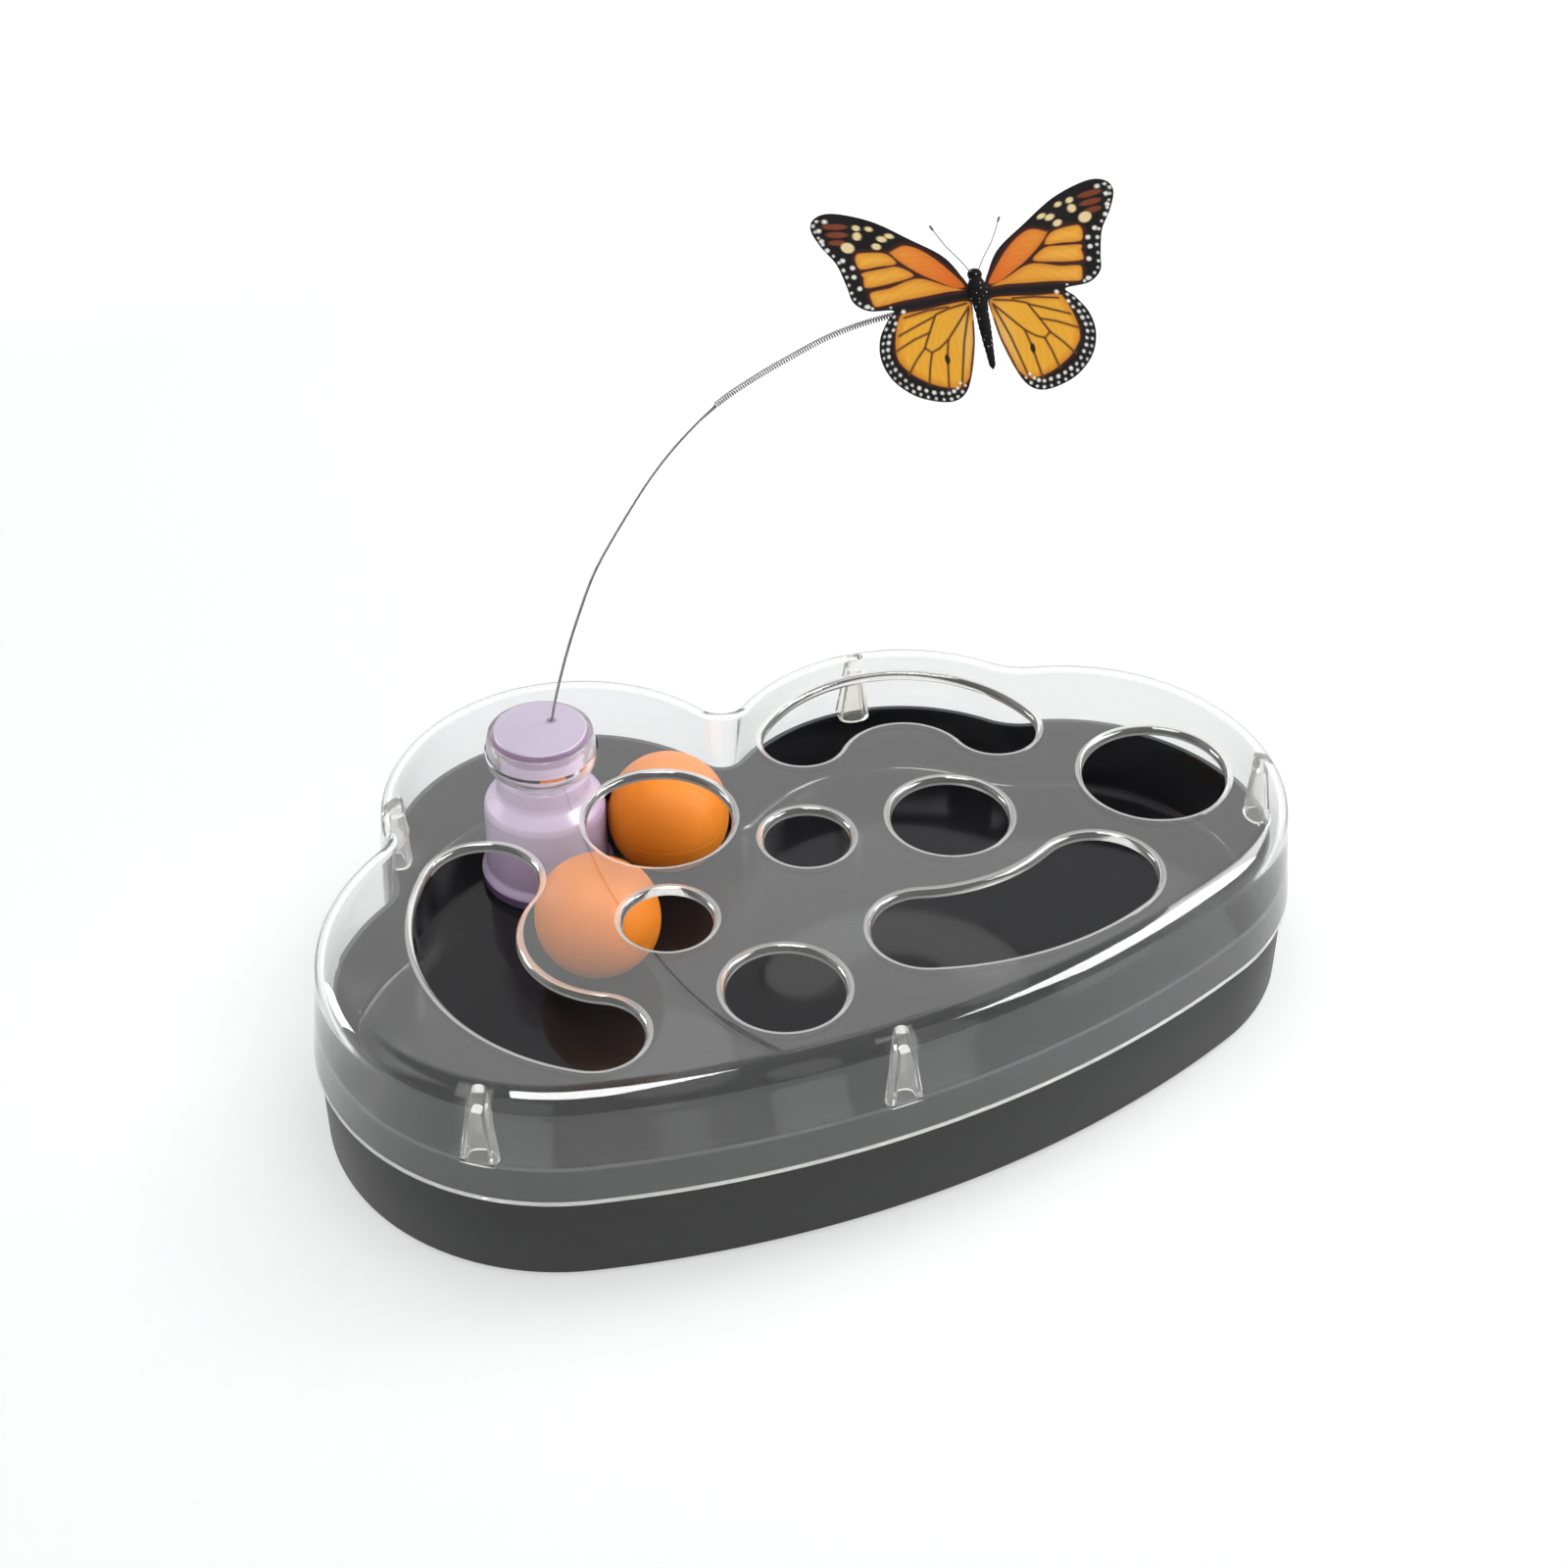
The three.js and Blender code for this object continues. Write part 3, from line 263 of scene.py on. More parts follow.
def rounded(profile, steps=4, share=0.28, largest=1.2):
    """Rounds each corner of a closed profile with a short curve, apart from points on the axis."""
    out = []
    n = len(profile)
    for i, p in enumerate(profile):
        a, b, c = np.array(profile[i - 1]), np.array(p), np.array(profile[(i + 1) % n])
        if p[0] < 1e-6:
            out.append(tuple(b))
            continue
        reach = min(share * np.linalg.norm(a - b), share * np.linalg.norm(c - b), largest)
        u = b + (a - b) / np.linalg.norm(a - b) * reach
        w = b + (c - b) / np.linalg.norm(c - b) * reach
        for k in range(steps + 1):
            t = k / steps
            q = (1 - t) ** 2 * u + 2 * t * (1 - t) * b + t * t * w
            out.append((float(q[0]), float(q[1])))
    return out


def tube(name, points, radius, sides, swell=None):
    """A wire as a curve with a round bevel, turned into a mesh. Swell gives each point its own thickness."""
    start_piece()
    bpy.ops.curve.primitive_bezier_curve_add()
    curve = named(name).data
    curve.dimensions = "3D"
    curve.splines.clear()
    line = curve.splines.new("POLY")
    line.points.add(len(points) - 1)
    for q, p in zip(line.points, points):
        q.co = (*p, 1)
    if swell is not None:
        line.points.foreach_set("radius", swell)
    curve.bevel_depth = radius
    curve.bevel_resolution = max(0, sides // 4 - 1)
    curve.use_fill_caps = True
    curve.twist_mode = "MINIMUM"
    bpy.ops.object.convert(target="MESH")
    piece = bpy.context.object
    bpy.ops.object.mode_set(mode="EDIT")
    return close_piece(piece, 60)


# %% [markdown]
# Finishes. Each one is a small node tree: a base colour that drifts a little, a roughness that varies as on a
# handled part, and a fine bump for the grain of the mould. Patterns read Object coordinates in metres, so the
# scales are high numbers.

# %% Finish helpers
GRAIN_DEPTH = 0.0002


def add_node(material, kind, **inputs):
    node = material.node_tree.nodes.new("ShaderNode" + kind)
    for key, value in inputs.items():
        node.inputs[key.replace("_", " ")].default_value = value
    return node


def join(material, *wires):
    for source, output, target, socket in wires:
        material.node_tree.links.new(source.outputs[output], target.inputs[socket])


def ramp(material, *stops):
    node = add_node(material, "ValToRGB")
    for element, (position, colour) in zip(node.color_ramp.elements, stops):
        element.position, element.color = position, (*colour, 1)
    return node


def new_material(name):
    material = bpy.data.materials.new(name)
    material.use_nodes = True
    return material, material.node_tree.nodes["Principled BSDF"]


def finish(name, colour, roughness, drift=0.06, grain=900.0, bump=0.04, metallic=0.0, **sockets):
    material, shader = new_material(name)
    place = add_node(material, "TexCoord")
    cloud = add_node(material, "TexNoise", Scale=22.0, Detail=4.0)
    light, dark = [min(1, c * (1 + drift)) for c in colour], [c * (1 - drift) for c in colour]
    tone = ramp(material, (0.3, dark), (0.7, light))
    wear = add_node(material, "MapRange", To_Min=max(0.02, roughness * 0.9), To_Max=min(1.0, roughness * 1.1))
    fine = add_node(material, "TexNoise", Scale=grain, Detail=3.0)
    relief = add_node(material, "Bump", Strength=bump, Distance=GRAIN_DEPTH)
    join(
        material,
        (place, "Object", cloud, "Vector"), (place, "Object", fine, "Vector"),
        (cloud, "Fac", tone, "Fac"), (tone, "Color", shader, "Base Color"),
        (cloud, "Fac", wear, "Value"), (wear, "Result", shader, "Roughness"),
        (fine, "Fac", relief, "Height"), (relief, "Normal", shader, "Normal"),
    )
    shader.inputs["Metallic"].default_value = metallic
    for key, value in sockets.items():
        shader.inputs[key.replace("_", " ")].default_value = value
    return material


def repaint(material, source, output):
    """Another source of colour takes the place of the drifting one."""
    join(material, (source, output, material.node_tree.nodes["Principled BSDF"], "Base Color"))
    return material


def wear_finish(piece, *materials):
    piece.data.materials.clear()
    for material in materials:
        piece.data.materials.append(material)


# %% [markdown]
# Clear plastic is a glass shader with the refraction of acrylic. Lamp light is let through on shadow rays,
# because light that bends through two faces is hardly ever found by a short render.

# %% Clear plastic
ACRYLIC_IOR = 1.49


def clear_finish(name, tint, roughness, clearness=1.0):
    material, shader = new_material(name)
    shader.inputs["Base Color"].default_value = (*tint, 1)
    shader.inputs["Transmission Weight"].default_value = clearness
    shader.inputs["IOR"].default_value = ACRYLIC_IOR
    place = add_node(material, "TexCoord")
    smear = add_node(material, "TexNoise", Scale=30.0)
    wear = add_node(material, "MapRange", To_Min=roughness * 0.5, To_Max=roughness * 1.5)
    path = add_node(material, "LightPath")
    through = add_node(material, "BsdfTransparent", Color=(0.84, 0.85, 0.85, 1))
    mix = add_node(material, "MixShader")
    surface = material.node_tree.nodes["Material Output"]
    join(
        material,
        (place, "Object", smear, "Vector"),
        (smear, "Fac", wear, "Value"), (wear, "Result", shader, "Roughness"),
        (path, "Is Shadow Ray", mix, 0), (shader, "BSDF", mix, 1),
        (through, "BSDF", mix, 2), (mix, "Shader", surface, "Surface"),
    )
    return material


clear_plastic = clear_finish("clear_plastic", (0.91, 0.915, 0.915), 0.012)
# Milkier, paler copies of the acrylic: painted highlight on the hole edges and the skirt's lower edge.
clear_edge_painted_highlight = clear_finish("clear_edge_painted_highlight", (0.92, 0.91, 0.88), 0.03, 0.62)
clear_round_painted_highlight = clear_finish("clear_round_painted_highlight", (0.90, 0.89, 0.86), 0.05, 0.84)
# A slightly milky copy for the posts: painted shade on them.
clear_post_painted_shade = clear_finish("clear_post_painted_shade", (0.90, 0.89, 0.85), 0.03, 0.93)
clear_collar = clear_finish("clear_collar", (0.90, 0.86, 0.90), 0.08, 0.86)
tray_outside = finish("tray_outside", (0.019, 0.019, 0.020), 0.45, grain=1400, bump=0.10, Specular_IOR_Level=0.38)
tray_inside = finish("tray_inside", (0.006, 0.006, 0.007), 0.10, bump=0.01, Specular_IOR_Level=0.3)
lilac = finish("lilac_body", (0.40, 0.305, 0.44), 0.24, grain=1500, bump=0.05)
# A darker lilac for the foot ring: painted shade.
lilac_foot_painted_shade = finish("lilac_foot_painted_shade", (0.12, 0.07, 0.15), 0.2, grain=1500, bump=0.05)
# A darker copy of the cap's lilac for its sides: painted shade.
lilac_side_painted_shade = finish("lilac_cap_side_painted_shade", (0.34, 0.23, 0.35), 0.35, grain=1500, bump=0.07)
lilac_pale = finish("lilac_cap", (0.63, 0.55, 0.68), 0.45, grain=1500, bump=0.07, Specular_IOR_Level=0.3)
orange = finish("ball_orange", (0.58, 0.165, 0.013), 0.5, drift=0.04, grain=1100, bump=0.08,
                Specular_IOR_Level=0.1)
rubber = finish("foot_rubber", (0.018, 0.018, 0.018), 0.9, grain=700, bump=0.25)
steel = finish("wire_steel", (0.30, 0.305, 0.31), 0.3, metallic=1.0, bump=0.03)
print("finishes", len(bpy.data.materials))

# %% [markdown]
# The tray is one moulding. Its outer wall rises to a step, the lid slides over the rim above the step, and a
# deep groove under the rim keeps the wall thin. One row of points is pulled up the outside, over the rim, down
# the inside and along the floor; a second row makes the underside.

# %% Tray
FLOOR_Z, FLOOR_UNDER, STEP_Z, SKIRT_Z, RIM_Z, LID_TOP = 16.0, 13.8, 30.2, 30.5, 41.5, 68.0
FILLET, SKIRT_OFF, LID_WALL, RIM_GAP, RIM_WALL = 8.0, 3.0, 2.6, 0.5, 2.2
fillet_z = LID_TOP - FILLET


def wall_in(z):
    return SKIRT_OFF * (fillet_z - z) / (fillet_z - SKIRT_Z) - LID_WALL


UNIT = (-54.2, 68.0)
SCREW_Y = 15.6
rim_outer = wall_in(RIM_Z) - RIM_GAP
tray_rings = [
    (0.2, 0.8), (0.62, 0.95), (1.0, 1.3), (1.2, 1.8), (1.66, 29.7), (1.6, 30.05), (1.4, STEP_Z),
    (wall_in(STEP_Z) - RIM_GAP, STEP_Z), (rim_outer, 41.1), (rim_outer - 0.12, 41.38), (rim_outer - 0.4, RIM_Z),
    (rim_outer - RIM_WALL + 0.4, RIM_Z), (rim_outer - RIM_WALL + 0.12, 41.38), (rim_outer - RIM_WALL, 41.1),
    (-4.8, 19.0), (-5.03, 17.85), (-5.68, 16.88), (-6.65, 16.23), (-7.8, FLOOR_Z),
]
tray_under = [(-2.6, FLOOR_UNDER), (-2.4, 28.2), (-0.3, 28.2), (-0.8, 0.8), (0.2, 0.8)]
tray = new_rings("tray_shell", [at(outline(o), z) for o, z in tray_rings])
add_rings(tray, [at(outline(o), z) for o, z in tray_under])
for dy in (-SCREW_Y, SCREW_Y):
    hole = arc((UNIT[0], UNIT[1] + dy), 1.6, 0, 2 * math.pi, 32, False)
    add_rings(tray, [at(hole, FLOOR_Z), at(hole, FLOOR_UNDER)])
fill_level(tray, FLOOR_Z)
fill_level(tray, FLOOR_UNDER)
close_piece(tray, 40)
keep_flats(tray)
wear_finish(tray, tray_outside, tray_inside)
plan_line = outline(0)
outward = outline(1) - plan_line
nearest = lookup([(*p, 0) for p in plan_line])
for face in tray.data.polygons:
    c = face.center / MM
    away_from = outward[nearest.find((c.x, c.y, 0))[1]]
    faces_in = face.normal.x * away_from[0] + face.normal.y * away_from[1] < -0.02
    if c.z > FLOOR_Z - 0.1 and (faces_in or c.z < FLOOR_Z + 0.1):
        face.material_index = 1
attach(tray, "base")
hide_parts("base_tray")
print("tray faces", len(tray.data.polygons))

# %% [markdown]
# The lid is a thin shell. Its hole edges are rounded, and those rounded edges are what the eye reads as bright
# lines in clear plastic, so they are modelled in six steps. Their faces and the skirt's lower edge also get
# milkier copies of the plastic, painted highlight that whitens the lines. The flat top is filled between the cloud
# outline and all the hole edges in one go.

# %% Lid
EDGE_R = 2.4
# A round hole is its middle and radius. A bean is its two end circles, the radii of its long sides and its bend.
ROUND_HOLES = [
    (1.4, -11.4, 15.8), (46.1, -22.0, 20.8), (114.8, -32.0, 25.1), (-53.5, -27.3, 16.0),
    (-35.9, -70.6, 20.1), (-35.7, 17.5, 25.1),
]
BEAN_HOLES = [
    ((-96.6, 13.6), 19.4, (-93.4, -63.2), 17.0, 70.3, 28.4, 1),
    ((13.6, -65.9), 18.9, (73.1, -66.6), 20.6, 101.7, 54.6, 1),
    ((22.9, 33.8), 15.3, (81.8, 11.5), 15.5, 50.9, 19.5, -1),
]


def bean(a, ra, b, rb, outer, inner, side, off):
    co = crossing(a, outer - ra, b, outer - rb, side)
    ci = crossing(a, inner + ra, b, inner + rb, side)
    cw = side < 0
    ring = np.concatenate([
        arc(co, outer + off, heading(co, a), heading(co, b), 36, cw),
        arc(b, rb + off, heading(co, b), heading(b, ci), 28, cw),
        arc(ci, inner - off, heading(ci, b), heading(ci, a), 24, not cw),
        arc(a, ra + off, heading(a, ci), heading(co, a), 28, cw),
    ])
    return ring[::-1] if cw else ring


def edge_rings(shape, top, bottom, steps=6):
    rows = []
    for i in range(steps + 1):
        t = i * math.pi / 2 / steps
        rows.append(at(shape(-EDGE_R * math.sin(t)), top - EDGE_R * (1 - math.cos(t))))
    rows.append(at(shape(-EDGE_R), bottom))
    return rows


inner_top = LID_TOP - LID_WALL
lid_rows = [at(outline(SKIRT_OFF - 0.35), SKIRT_Z), at(outline(SKIRT_OFF), SKIRT_Z + 0.35)]
for i in range(11):
    t = i * math.pi / 20
    lid_rows.append(at(outline(FILLET * (math.cos(t) - 1)), fillet_z + FILLET * math.sin(t)))
lid = new_rings("lid_shell", lid_rows)
inside_rows = []
for i in range(7, -1, -1):
    t = i * math.pi / 14
    r = FILLET - LID_WALL
    inside_rows.append(at(outline(-FILLET + r * math.cos(t)), fillet_z + r * math.sin(t)))
inside_rows.append(at(outline(SKIRT_OFF - LID_WALL), SKIRT_Z + 0.35))
inside_rows.append(at(outline(SKIRT_OFF - LID_WALL + 0.35), SKIRT_Z))
inside_rows.append(lid_rows[0])
add_rings(lid, inside_rows)
hole_shapes = [
    lambda off, x=x, y=y, r=r: arc((x, y), r + off, 0, 2 * math.pi, 80, False) for x, y, r in ROUND_HOLES
]
hole_shapes += [lambda off, spec=spec: bean(*spec, off) for spec in BEAN_HOLES]
for shape in hole_shapes:
    add_rings(lid, edge_rings(shape, LID_TOP, inner_top))
collar_hole = arc(UNIT, 18.2, 0, 2 * math.pi, 96, False)
add_rings(lid, [at(collar_hole, LID_TOP), at(collar_hole, inner_top)])
fill_level(lid, LID_TOP)
fill_level(lid, inner_top)
close_piece(lid, 40)
print("lid faces", len(lid.data.polygons))

# %% [markdown]
# Five hollow posts inside the skirt carry the lid on the rim. Each is a tapered D-shaped stack. All five are
# joined to the lid in one boolean, and their pockets are cut in another, so the clear plastic is one body with
# no faces inside it.

# %% Posts
POSTS = [
    (LOBES[0], 226.9), ((tuple(front_centre), FRONT_R), -92.6), (LOBES[2], 79.5), (LOBES[3], -13.7),
    (LOBES[1], 160.4),
]
POST_IN, POST_REACH = 5.5, 5.0
NEARLY_LEVEL, NEARLY_UPRIGHT = 0.995, 0.35


def post_rings(arc_of, degrees, levels):
    (cx, cy), r = arc_of
    u = np.array((math.cos(math.radians(degrees)), math.sin(math.radians(degrees))))
    side = np.array((-u[1], u[0]))
    wall = np.array((cx, cy)) + r * u
    rows = []
    for z, back, nose, half in levels:
        t = -math.pi / 2 + np.arange(13) * math.pi / 12
        o = np.concatenate([[back], nose + half * 0.6 * (1 - np.cos(t)), [back]])
        s = np.concatenate([[-half], half * np.sin(t), [half]])
        rows.append(at((wall + o[:, None] * u + s[:, None] * side)[::-1], z))
    return rows


def post_set(name, levels):
    first, *others = (post_rings(*post, levels) for post in POSTS)
    piece = new_rings(name, first)
    for rows in others:
        add_rings(piece, rows)
    for z in (levels[0][0], levels[-1][0]):
        select_open_edges(piece, z)
        bpy.ops.mesh.edge_face_add()
        bpy.ops.mesh.select_mode(type="VERT")
    return close_piece(piece)


rim_in, top_in = wall_in(RIM_Z), wall_in(fillet_z)
posts = post_set("posts", [
    (RIM_Z, rim_in + 1.1, rim_in - 8, 5.25), (fillet_z, top_in + 1.1, top_in - 5.2, 2.95),
    (inner_top + 0.6, -4.6, -7.6, 2.25),
])
pockets = post_set("pockets", [
    (RIM_Z - 1, rim_in - 0.5, rim_in - 6.6, 3.85), (fillet_z, top_in - 0.5, top_in - 3.8, 1.55),
])
cut(lid, posts, "UNION")
cut(lid, pockets)
smooth_piece(lid, 40)
keep_flats(lid)
wear_finish(lid, clear_plastic, clear_edge_painted_highlight, clear_round_painted_highlight, clear_post_painted_shade)
hole_edge = lookup([(*p, 0) for p in np.concatenate([shape(-EDGE_R / 2) for shape in hole_shapes])])
post_places = [
    (x + (r - POST_IN) * math.cos(math.radians(a)), y + (r - POST_IN) * math.sin(math.radians(a)))
    for ((x, y), r), a in POSTS
]
# Hole-edge faces and the skirt's lower edge get the milky copies, painted highlight; faces by the posts get the
# posts' copy, painted shade.
for face in lid.data.polygons:
    c = face.center / MM
    on_hole = hole_edge.find((c.x, c.y, 0))[2] < EDGE_R * 0.8 and c.z > inner_top
    bright_line = 0.85 < face.normal.z < NEARLY_LEVEL or abs(face.normal.z) < NEARLY_UPRIGHT
    to_post = min(math.hypot(c.x - x, c.y - y) for x, y in post_places)
    near_post = to_post < POST_REACH and RIM_Z - 1 < c.z < inner_top - 0.1
    if (on_hole and bright_line) or c.z < SKIRT_Z + 0.3:
        face.material_index = 1
    elif on_hole and abs(face.normal.z) < NEARLY_LEVEL:
        face.material_index = 2
    elif near_post:
        face.material_index = 3
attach(lid, "lid")
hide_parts("clear_lid")
print("lid faces with posts", len(lid.data.polygons))

# %% [markdown]
# The play balls are moulded in two halves. A sphere is added, and the ring of faces at its waist is pinched
# in by a hair to leave the parting line.

# %% Balls
BALLS = {"front": (-58.3, 16.6), "back": (-16.4, 54.1)}
BALL_R, BALL_Z = 20.0, 36.05
SEAM, SEAM_PINCH, AT_WAIST = 0.16, 0.9965, 1e-5
for name, (x, y) in BALLS.items():
    start_piece()
    bpy.ops.mesh.primitive_uv_sphere_add(
        segments=96, ring_count=64, radius=BALL_R * MM, location=(x * MM, y * MM, BALL_Z * MM))
    ball = named(f"play_ball_{name}")
    bpy.ops.object.mode_set(mode="EDIT")
    bpy.ops.mesh.select_all(action="DESELECT")
    bm = bmesh.from_edit_mesh(ball.data)
    for v in bm.verts:
        v.select = abs(v.co.z) < AT_WAIST
    bm.select_flush_mode()
    bmesh.update_edit_mesh(ball.data)
    bpy.ops.mesh.bevel(offset=SEAM * MM, segments=2, affect="EDGES")
    bm = bmesh.from_edit_mesh(ball.data)
    for v in bm.verts:
        if abs(v.co.z) < AT_WAIST / 2:
            v.co.x *= SEAM_PINCH
            v.co.y *= SEAM_PINCH
    bmesh.update_edit_mesh(ball.data)
    close_piece(ball, 60)
    wear_finish(ball, orange)
    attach(ball, f"{name}_ball")
    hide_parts(f"ball_{name}_upper", f"ball_{name}_lower")
    print(ball.name, "faces", len(ball.data.polygons))

# %% [markdown]
# The motor unit is turned work: a flared foot, a straight body, a shoulder and a neck. The closed profile is
# rounded at its corners and spun. The button hole and the slot for the charging port are cut in its back. The
# lowest ring of the foot is painted a darker lilac, as painted shade.

# %% Motor unit housing
FOOT_RING_R, BODY_R, BODY_WALL, NECK_R, UNIT_TOP, SHOULDER_Z = 21.9, 19.9, 1.8, 15.0, 57.7, 41.6
inner = BODY_R - BODY_WALL
SHAFT_GAP, FOOT_TOP = 2.0, 19.8
shell_profile = [
    (inner, 16.0), (FOOT_RING_R, 16.0), (FOOT_RING_R, 20.2), (BODY_R + 0.2, 22.4), (BODY_R, 32.0),
    (BODY_R - 0.1, 44.2), (19.1, 46.2), (17.2, 48.2), (15.6, 49.8), (NECK_R, 51.5), (NECK_R, UNIT_TOP),
    (SHAFT_GAP, UNIT_TOP), (SHAFT_GAP, UNIT_TOP - BODY_WALL), (NECK_R - BODY_WALL, UNIT_TOP - BODY_WALL),
    (NECK_R - BODY_WALL, 51.8), (14.2, 49.6), (15.9, 46.9), (17.1, 43.8), (17.2, SHOULDER_Z),
    (inner, SHOULDER_Z),
]
housing = turned("unit_housing", rounded(shell_profile, 5), UNIT)


def rod_tool(x, y, z, radius, length, direction="Y"):
    start_piece()
    turn = (math.pi / 2, 0, 0) if direction == "Y" else (0, 0, 0)
    bpy.ops.mesh.primitive_cylinder_add(
        vertices=48, radius=radius * MM, depth=length * MM, location=(x * MM, y * MM, z * MM), rotation=turn)
    return bpy.context.object


def box_tool(x0, x1, y0, y1, z0, z1):
    start_piece()
    low, high = np.array((x0, y0, z0)), np.array((x1, y1, z1))
    bpy.ops.mesh.primitive_cube_add(size=1, location=tuple((low + high) / 2 * MM), scale=tuple((high - low) * MM))
    return bpy.context.object


BUTTON_Z, BUTTON_R, PORT_Z, PORT_WIDE, PORT_HIGH = 36.0, 2.7, 29.0, 4.9, 2.0
COLLAR_SCREWS, SCREW_R = (-9, 9), 1.1
cut(housing, rod_tool(UNIT[0], UNIT[1] + 19, BUTTON_Z, BUTTON_R, 10))
cut(housing, box_tool(UNIT[0] - PORT_WIDE, UNIT[0] + PORT_WIDE, UNIT[1] + 15, UNIT[1] + 24,
                      PORT_Z - PORT_HIGH, PORT_Z + PORT_HIGH))
for x in COLLAR_SCREWS:
    cut(housing, rod_tool(UNIT[0] + x, UNIT[1], 57, SCREW_R, 6, "Z"))
smooth_piece(housing, 50)
wear_finish(housing, lilac, lilac_foot_painted_shade)
# Faces below the foot's top get the darker lilac, painted shade.
for face in housing.data.polygons:
    if face.center.z < FOOT_TOP * MM:
        face.material_index = 1
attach(housing, "base")
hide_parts("drive_housing")
print("housing faces", len(housing.data.polygons))

# %% [markdown]
# A clear collar sits on the neck, and the pale cap turns in its mouth with a skirt that reaches down inside
# it, so lilac shows through. The wire comes up through a small hole beside the middle of the cap.

# %% Collar and cap
collar_profile = [
    (SHAFT_GAP, UNIT_TOP), (NECK_R, UNIT_TOP), (16.4, 59.4), (17.5, 61.6), (17.8, 63.6), (17.8, 68.0),
    (17.4, 72.0), (17.0, 73.6), (16.1, 73.6), (16.4, 71.0), (16.4, 63.6), (16.0, 61.8), (14.8, 59.6), (14.0, 58.9),
    (SHAFT_GAP, 58.9),
]
collar = turned("unit_collar", rounded(collar_profile), UNIT)
for x in COLLAR_SCREWS:
    cut(collar, rod_tool(UNIT[0] + x, UNIT[1], 58, SCREW_R, 6, "Z"))
smooth_piece(collar, 50)
wear_finish(collar, clear_collar)
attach(collar, "base")
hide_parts("clear_collar")

CAP_TOP, CAP_EDGE = 75.2, 69.5
WIRE_IN = (4.8, 2.2)
cap_profile = [
    (1.8, 61.0), (3.3, 61.0), (3.3, 72.6), (12.4, 72.6), (12.8, 72.0), (12.8, 60.6), (14.1, 60.6), (14.2, 69.4),
    (15.2, 69.8), (15.5, 71.6), (15.5, 73.4), (15.1, 74.7), (14.5, CAP_TOP), (0, CAP_TOP), (0, 70.0), (1.8, 70.0),
]
cap = turned("unit_cap", rounded(cap_profile), UNIT)
cut(cap, rod_tool(UNIT[0] + WIRE_IN[0], UNIT[1] + WIRE_IN[1], 75, 1.45, 8, "Z"))
smooth_piece(cap, 50)
wear_finish(cap, lilac_pale, lilac_side_painted_shade)
# Upright faces above the cap's edge get the darker copy, painted shade on its sides.
for face in cap.data.polygons:
    if abs(face.normal.z) < 0.75 and face.center.z > CAP_EDGE * MM:
        face.material_index = 1
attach(cap, "rotor")
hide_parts("rotor_cap")
print("collar and cap faces", len(collar.data.polygons), len(cap.data.polygons))

# %% [markdown]
# The wire lies in one upright plane. Its middle line is the same smooth curve as in the solids. It is a thin
# twisted strand, so its thickness dips a little at every turn of the twist. Near the butterfly it becomes a
# close spring, so the toy can bounce.

# %% Wire
PLANE = np.array((0.8934, -0.4493, 0.0))
WIRE_POINTS = [
    (0, 66.6), (0, 72), (0.9, 79), (5.6, 99.3), (11.2, 118.1), (16.4, 132.8), (24.9, 149.8), (36.2, 169.4),
    (46.5, 183.2), (56.3, 193.6), (67.1, 201.9), (76.9, 208.4), (87.2, 214.7), (96.9, 219.1), (108.8, 223.0),
    (129.6, 228.66),
]
wire_foot = np.array((UNIT[0] + WIRE_IN[0], UNIT[1] + WIRE_IN[1], 0.0))


def smooth_line(points, per=60):
    """A centripetal spline through the points, the kind that never overshoots."""
    p = [2 * points[0] - points[1], *points, 2 * points[-1] - points[-2]]
    out = []
    for p0, p1, p2, p3 in zip(p, p[1:], p[2:], p[3:]):
        d0, d1, d2 = (np.linalg.norm(b - a) ** 0.5 for a, b in ((p0, p1), (p1, p2), (p2, p3)))
        t1 = ((p1 - p0) / d0 - (p2 - p0) / (d0 + d1) + (p2 - p1) / d1) * d1
        t2 = ((p2 - p1) / d1 - (p3 - p1) / (d1 + d2) + (p3 - p2) / d2) * d1
        for k in range(per):
            t = k / per
            out.append((2 * t**3 - 3 * t * t + 1) * p1 + (t**3 - 2 * t * t + t) * t1
                       + (3 * t * t - 2 * t**3) * p2 + (t**3 - t * t) * t2)
    out.append(points[-1])
    return np.array(out)


def run_along(line):
    """How far along the line each of its points lies."""
    return np.concatenate([[0], np.cumsum(np.linalg.norm(np.diff(line, axis=0), axis=1))])


wire_line = smooth_line([wire_foot + out * PLANE + np.array((0, 0, z)) for out, z in WIRE_POINTS])
wire_length = run_along(wire_line)
total = wire_length[-1]


def on_wire(s):
    return np.array([np.interp(s, wire_length, wire_line[:, k]) for k in range(3)])


def along(s):
    d = on_wire(min(s + 0.2, total)) - on_wire(max(s - 0.2, 0))
    return d / np.linalg.norm(d)


SPRING_LENGTH, FERRULE_L, SOCKET_BACK = 82.0, 5.0, 3.0
spring_end = total - SOCKET_BACK
spring_start = spring_end - SPRING_LENGTH
LAY, ROD_R = 0.9, 0.5
stations = np.arange(0, spring_start - FERRULE_L / 2, LAY / 6)
strands = 1 - 0.16 * np.abs(np.cos(math.pi * stations / LAY)) ** 3 * (stations > 8)
rod = tube("wire_lower", [on_wire(s) * MM for s in stations], ROD_R * MM, 12, strands)
wear_finish(rod, steel)
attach(rod, "rotor")
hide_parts("wire_rod")

upright = np.cross(PLANE, (0, 0, 1.0))
SPRING_R, SPRING_WIRE, PITCH, TAIL, CURL_STEPS = 0.74, 0.2, 0.82, 0.6, 14
curls = round((SPRING_LENGTH - 2 * TAIL) / PITCH)


def coil_point(s, phi):
    n = np.cross(upright, along(s))
    return on_wire(s) + SPRING_R * (math.cos(phi) * upright + math.sin(phi) * n)


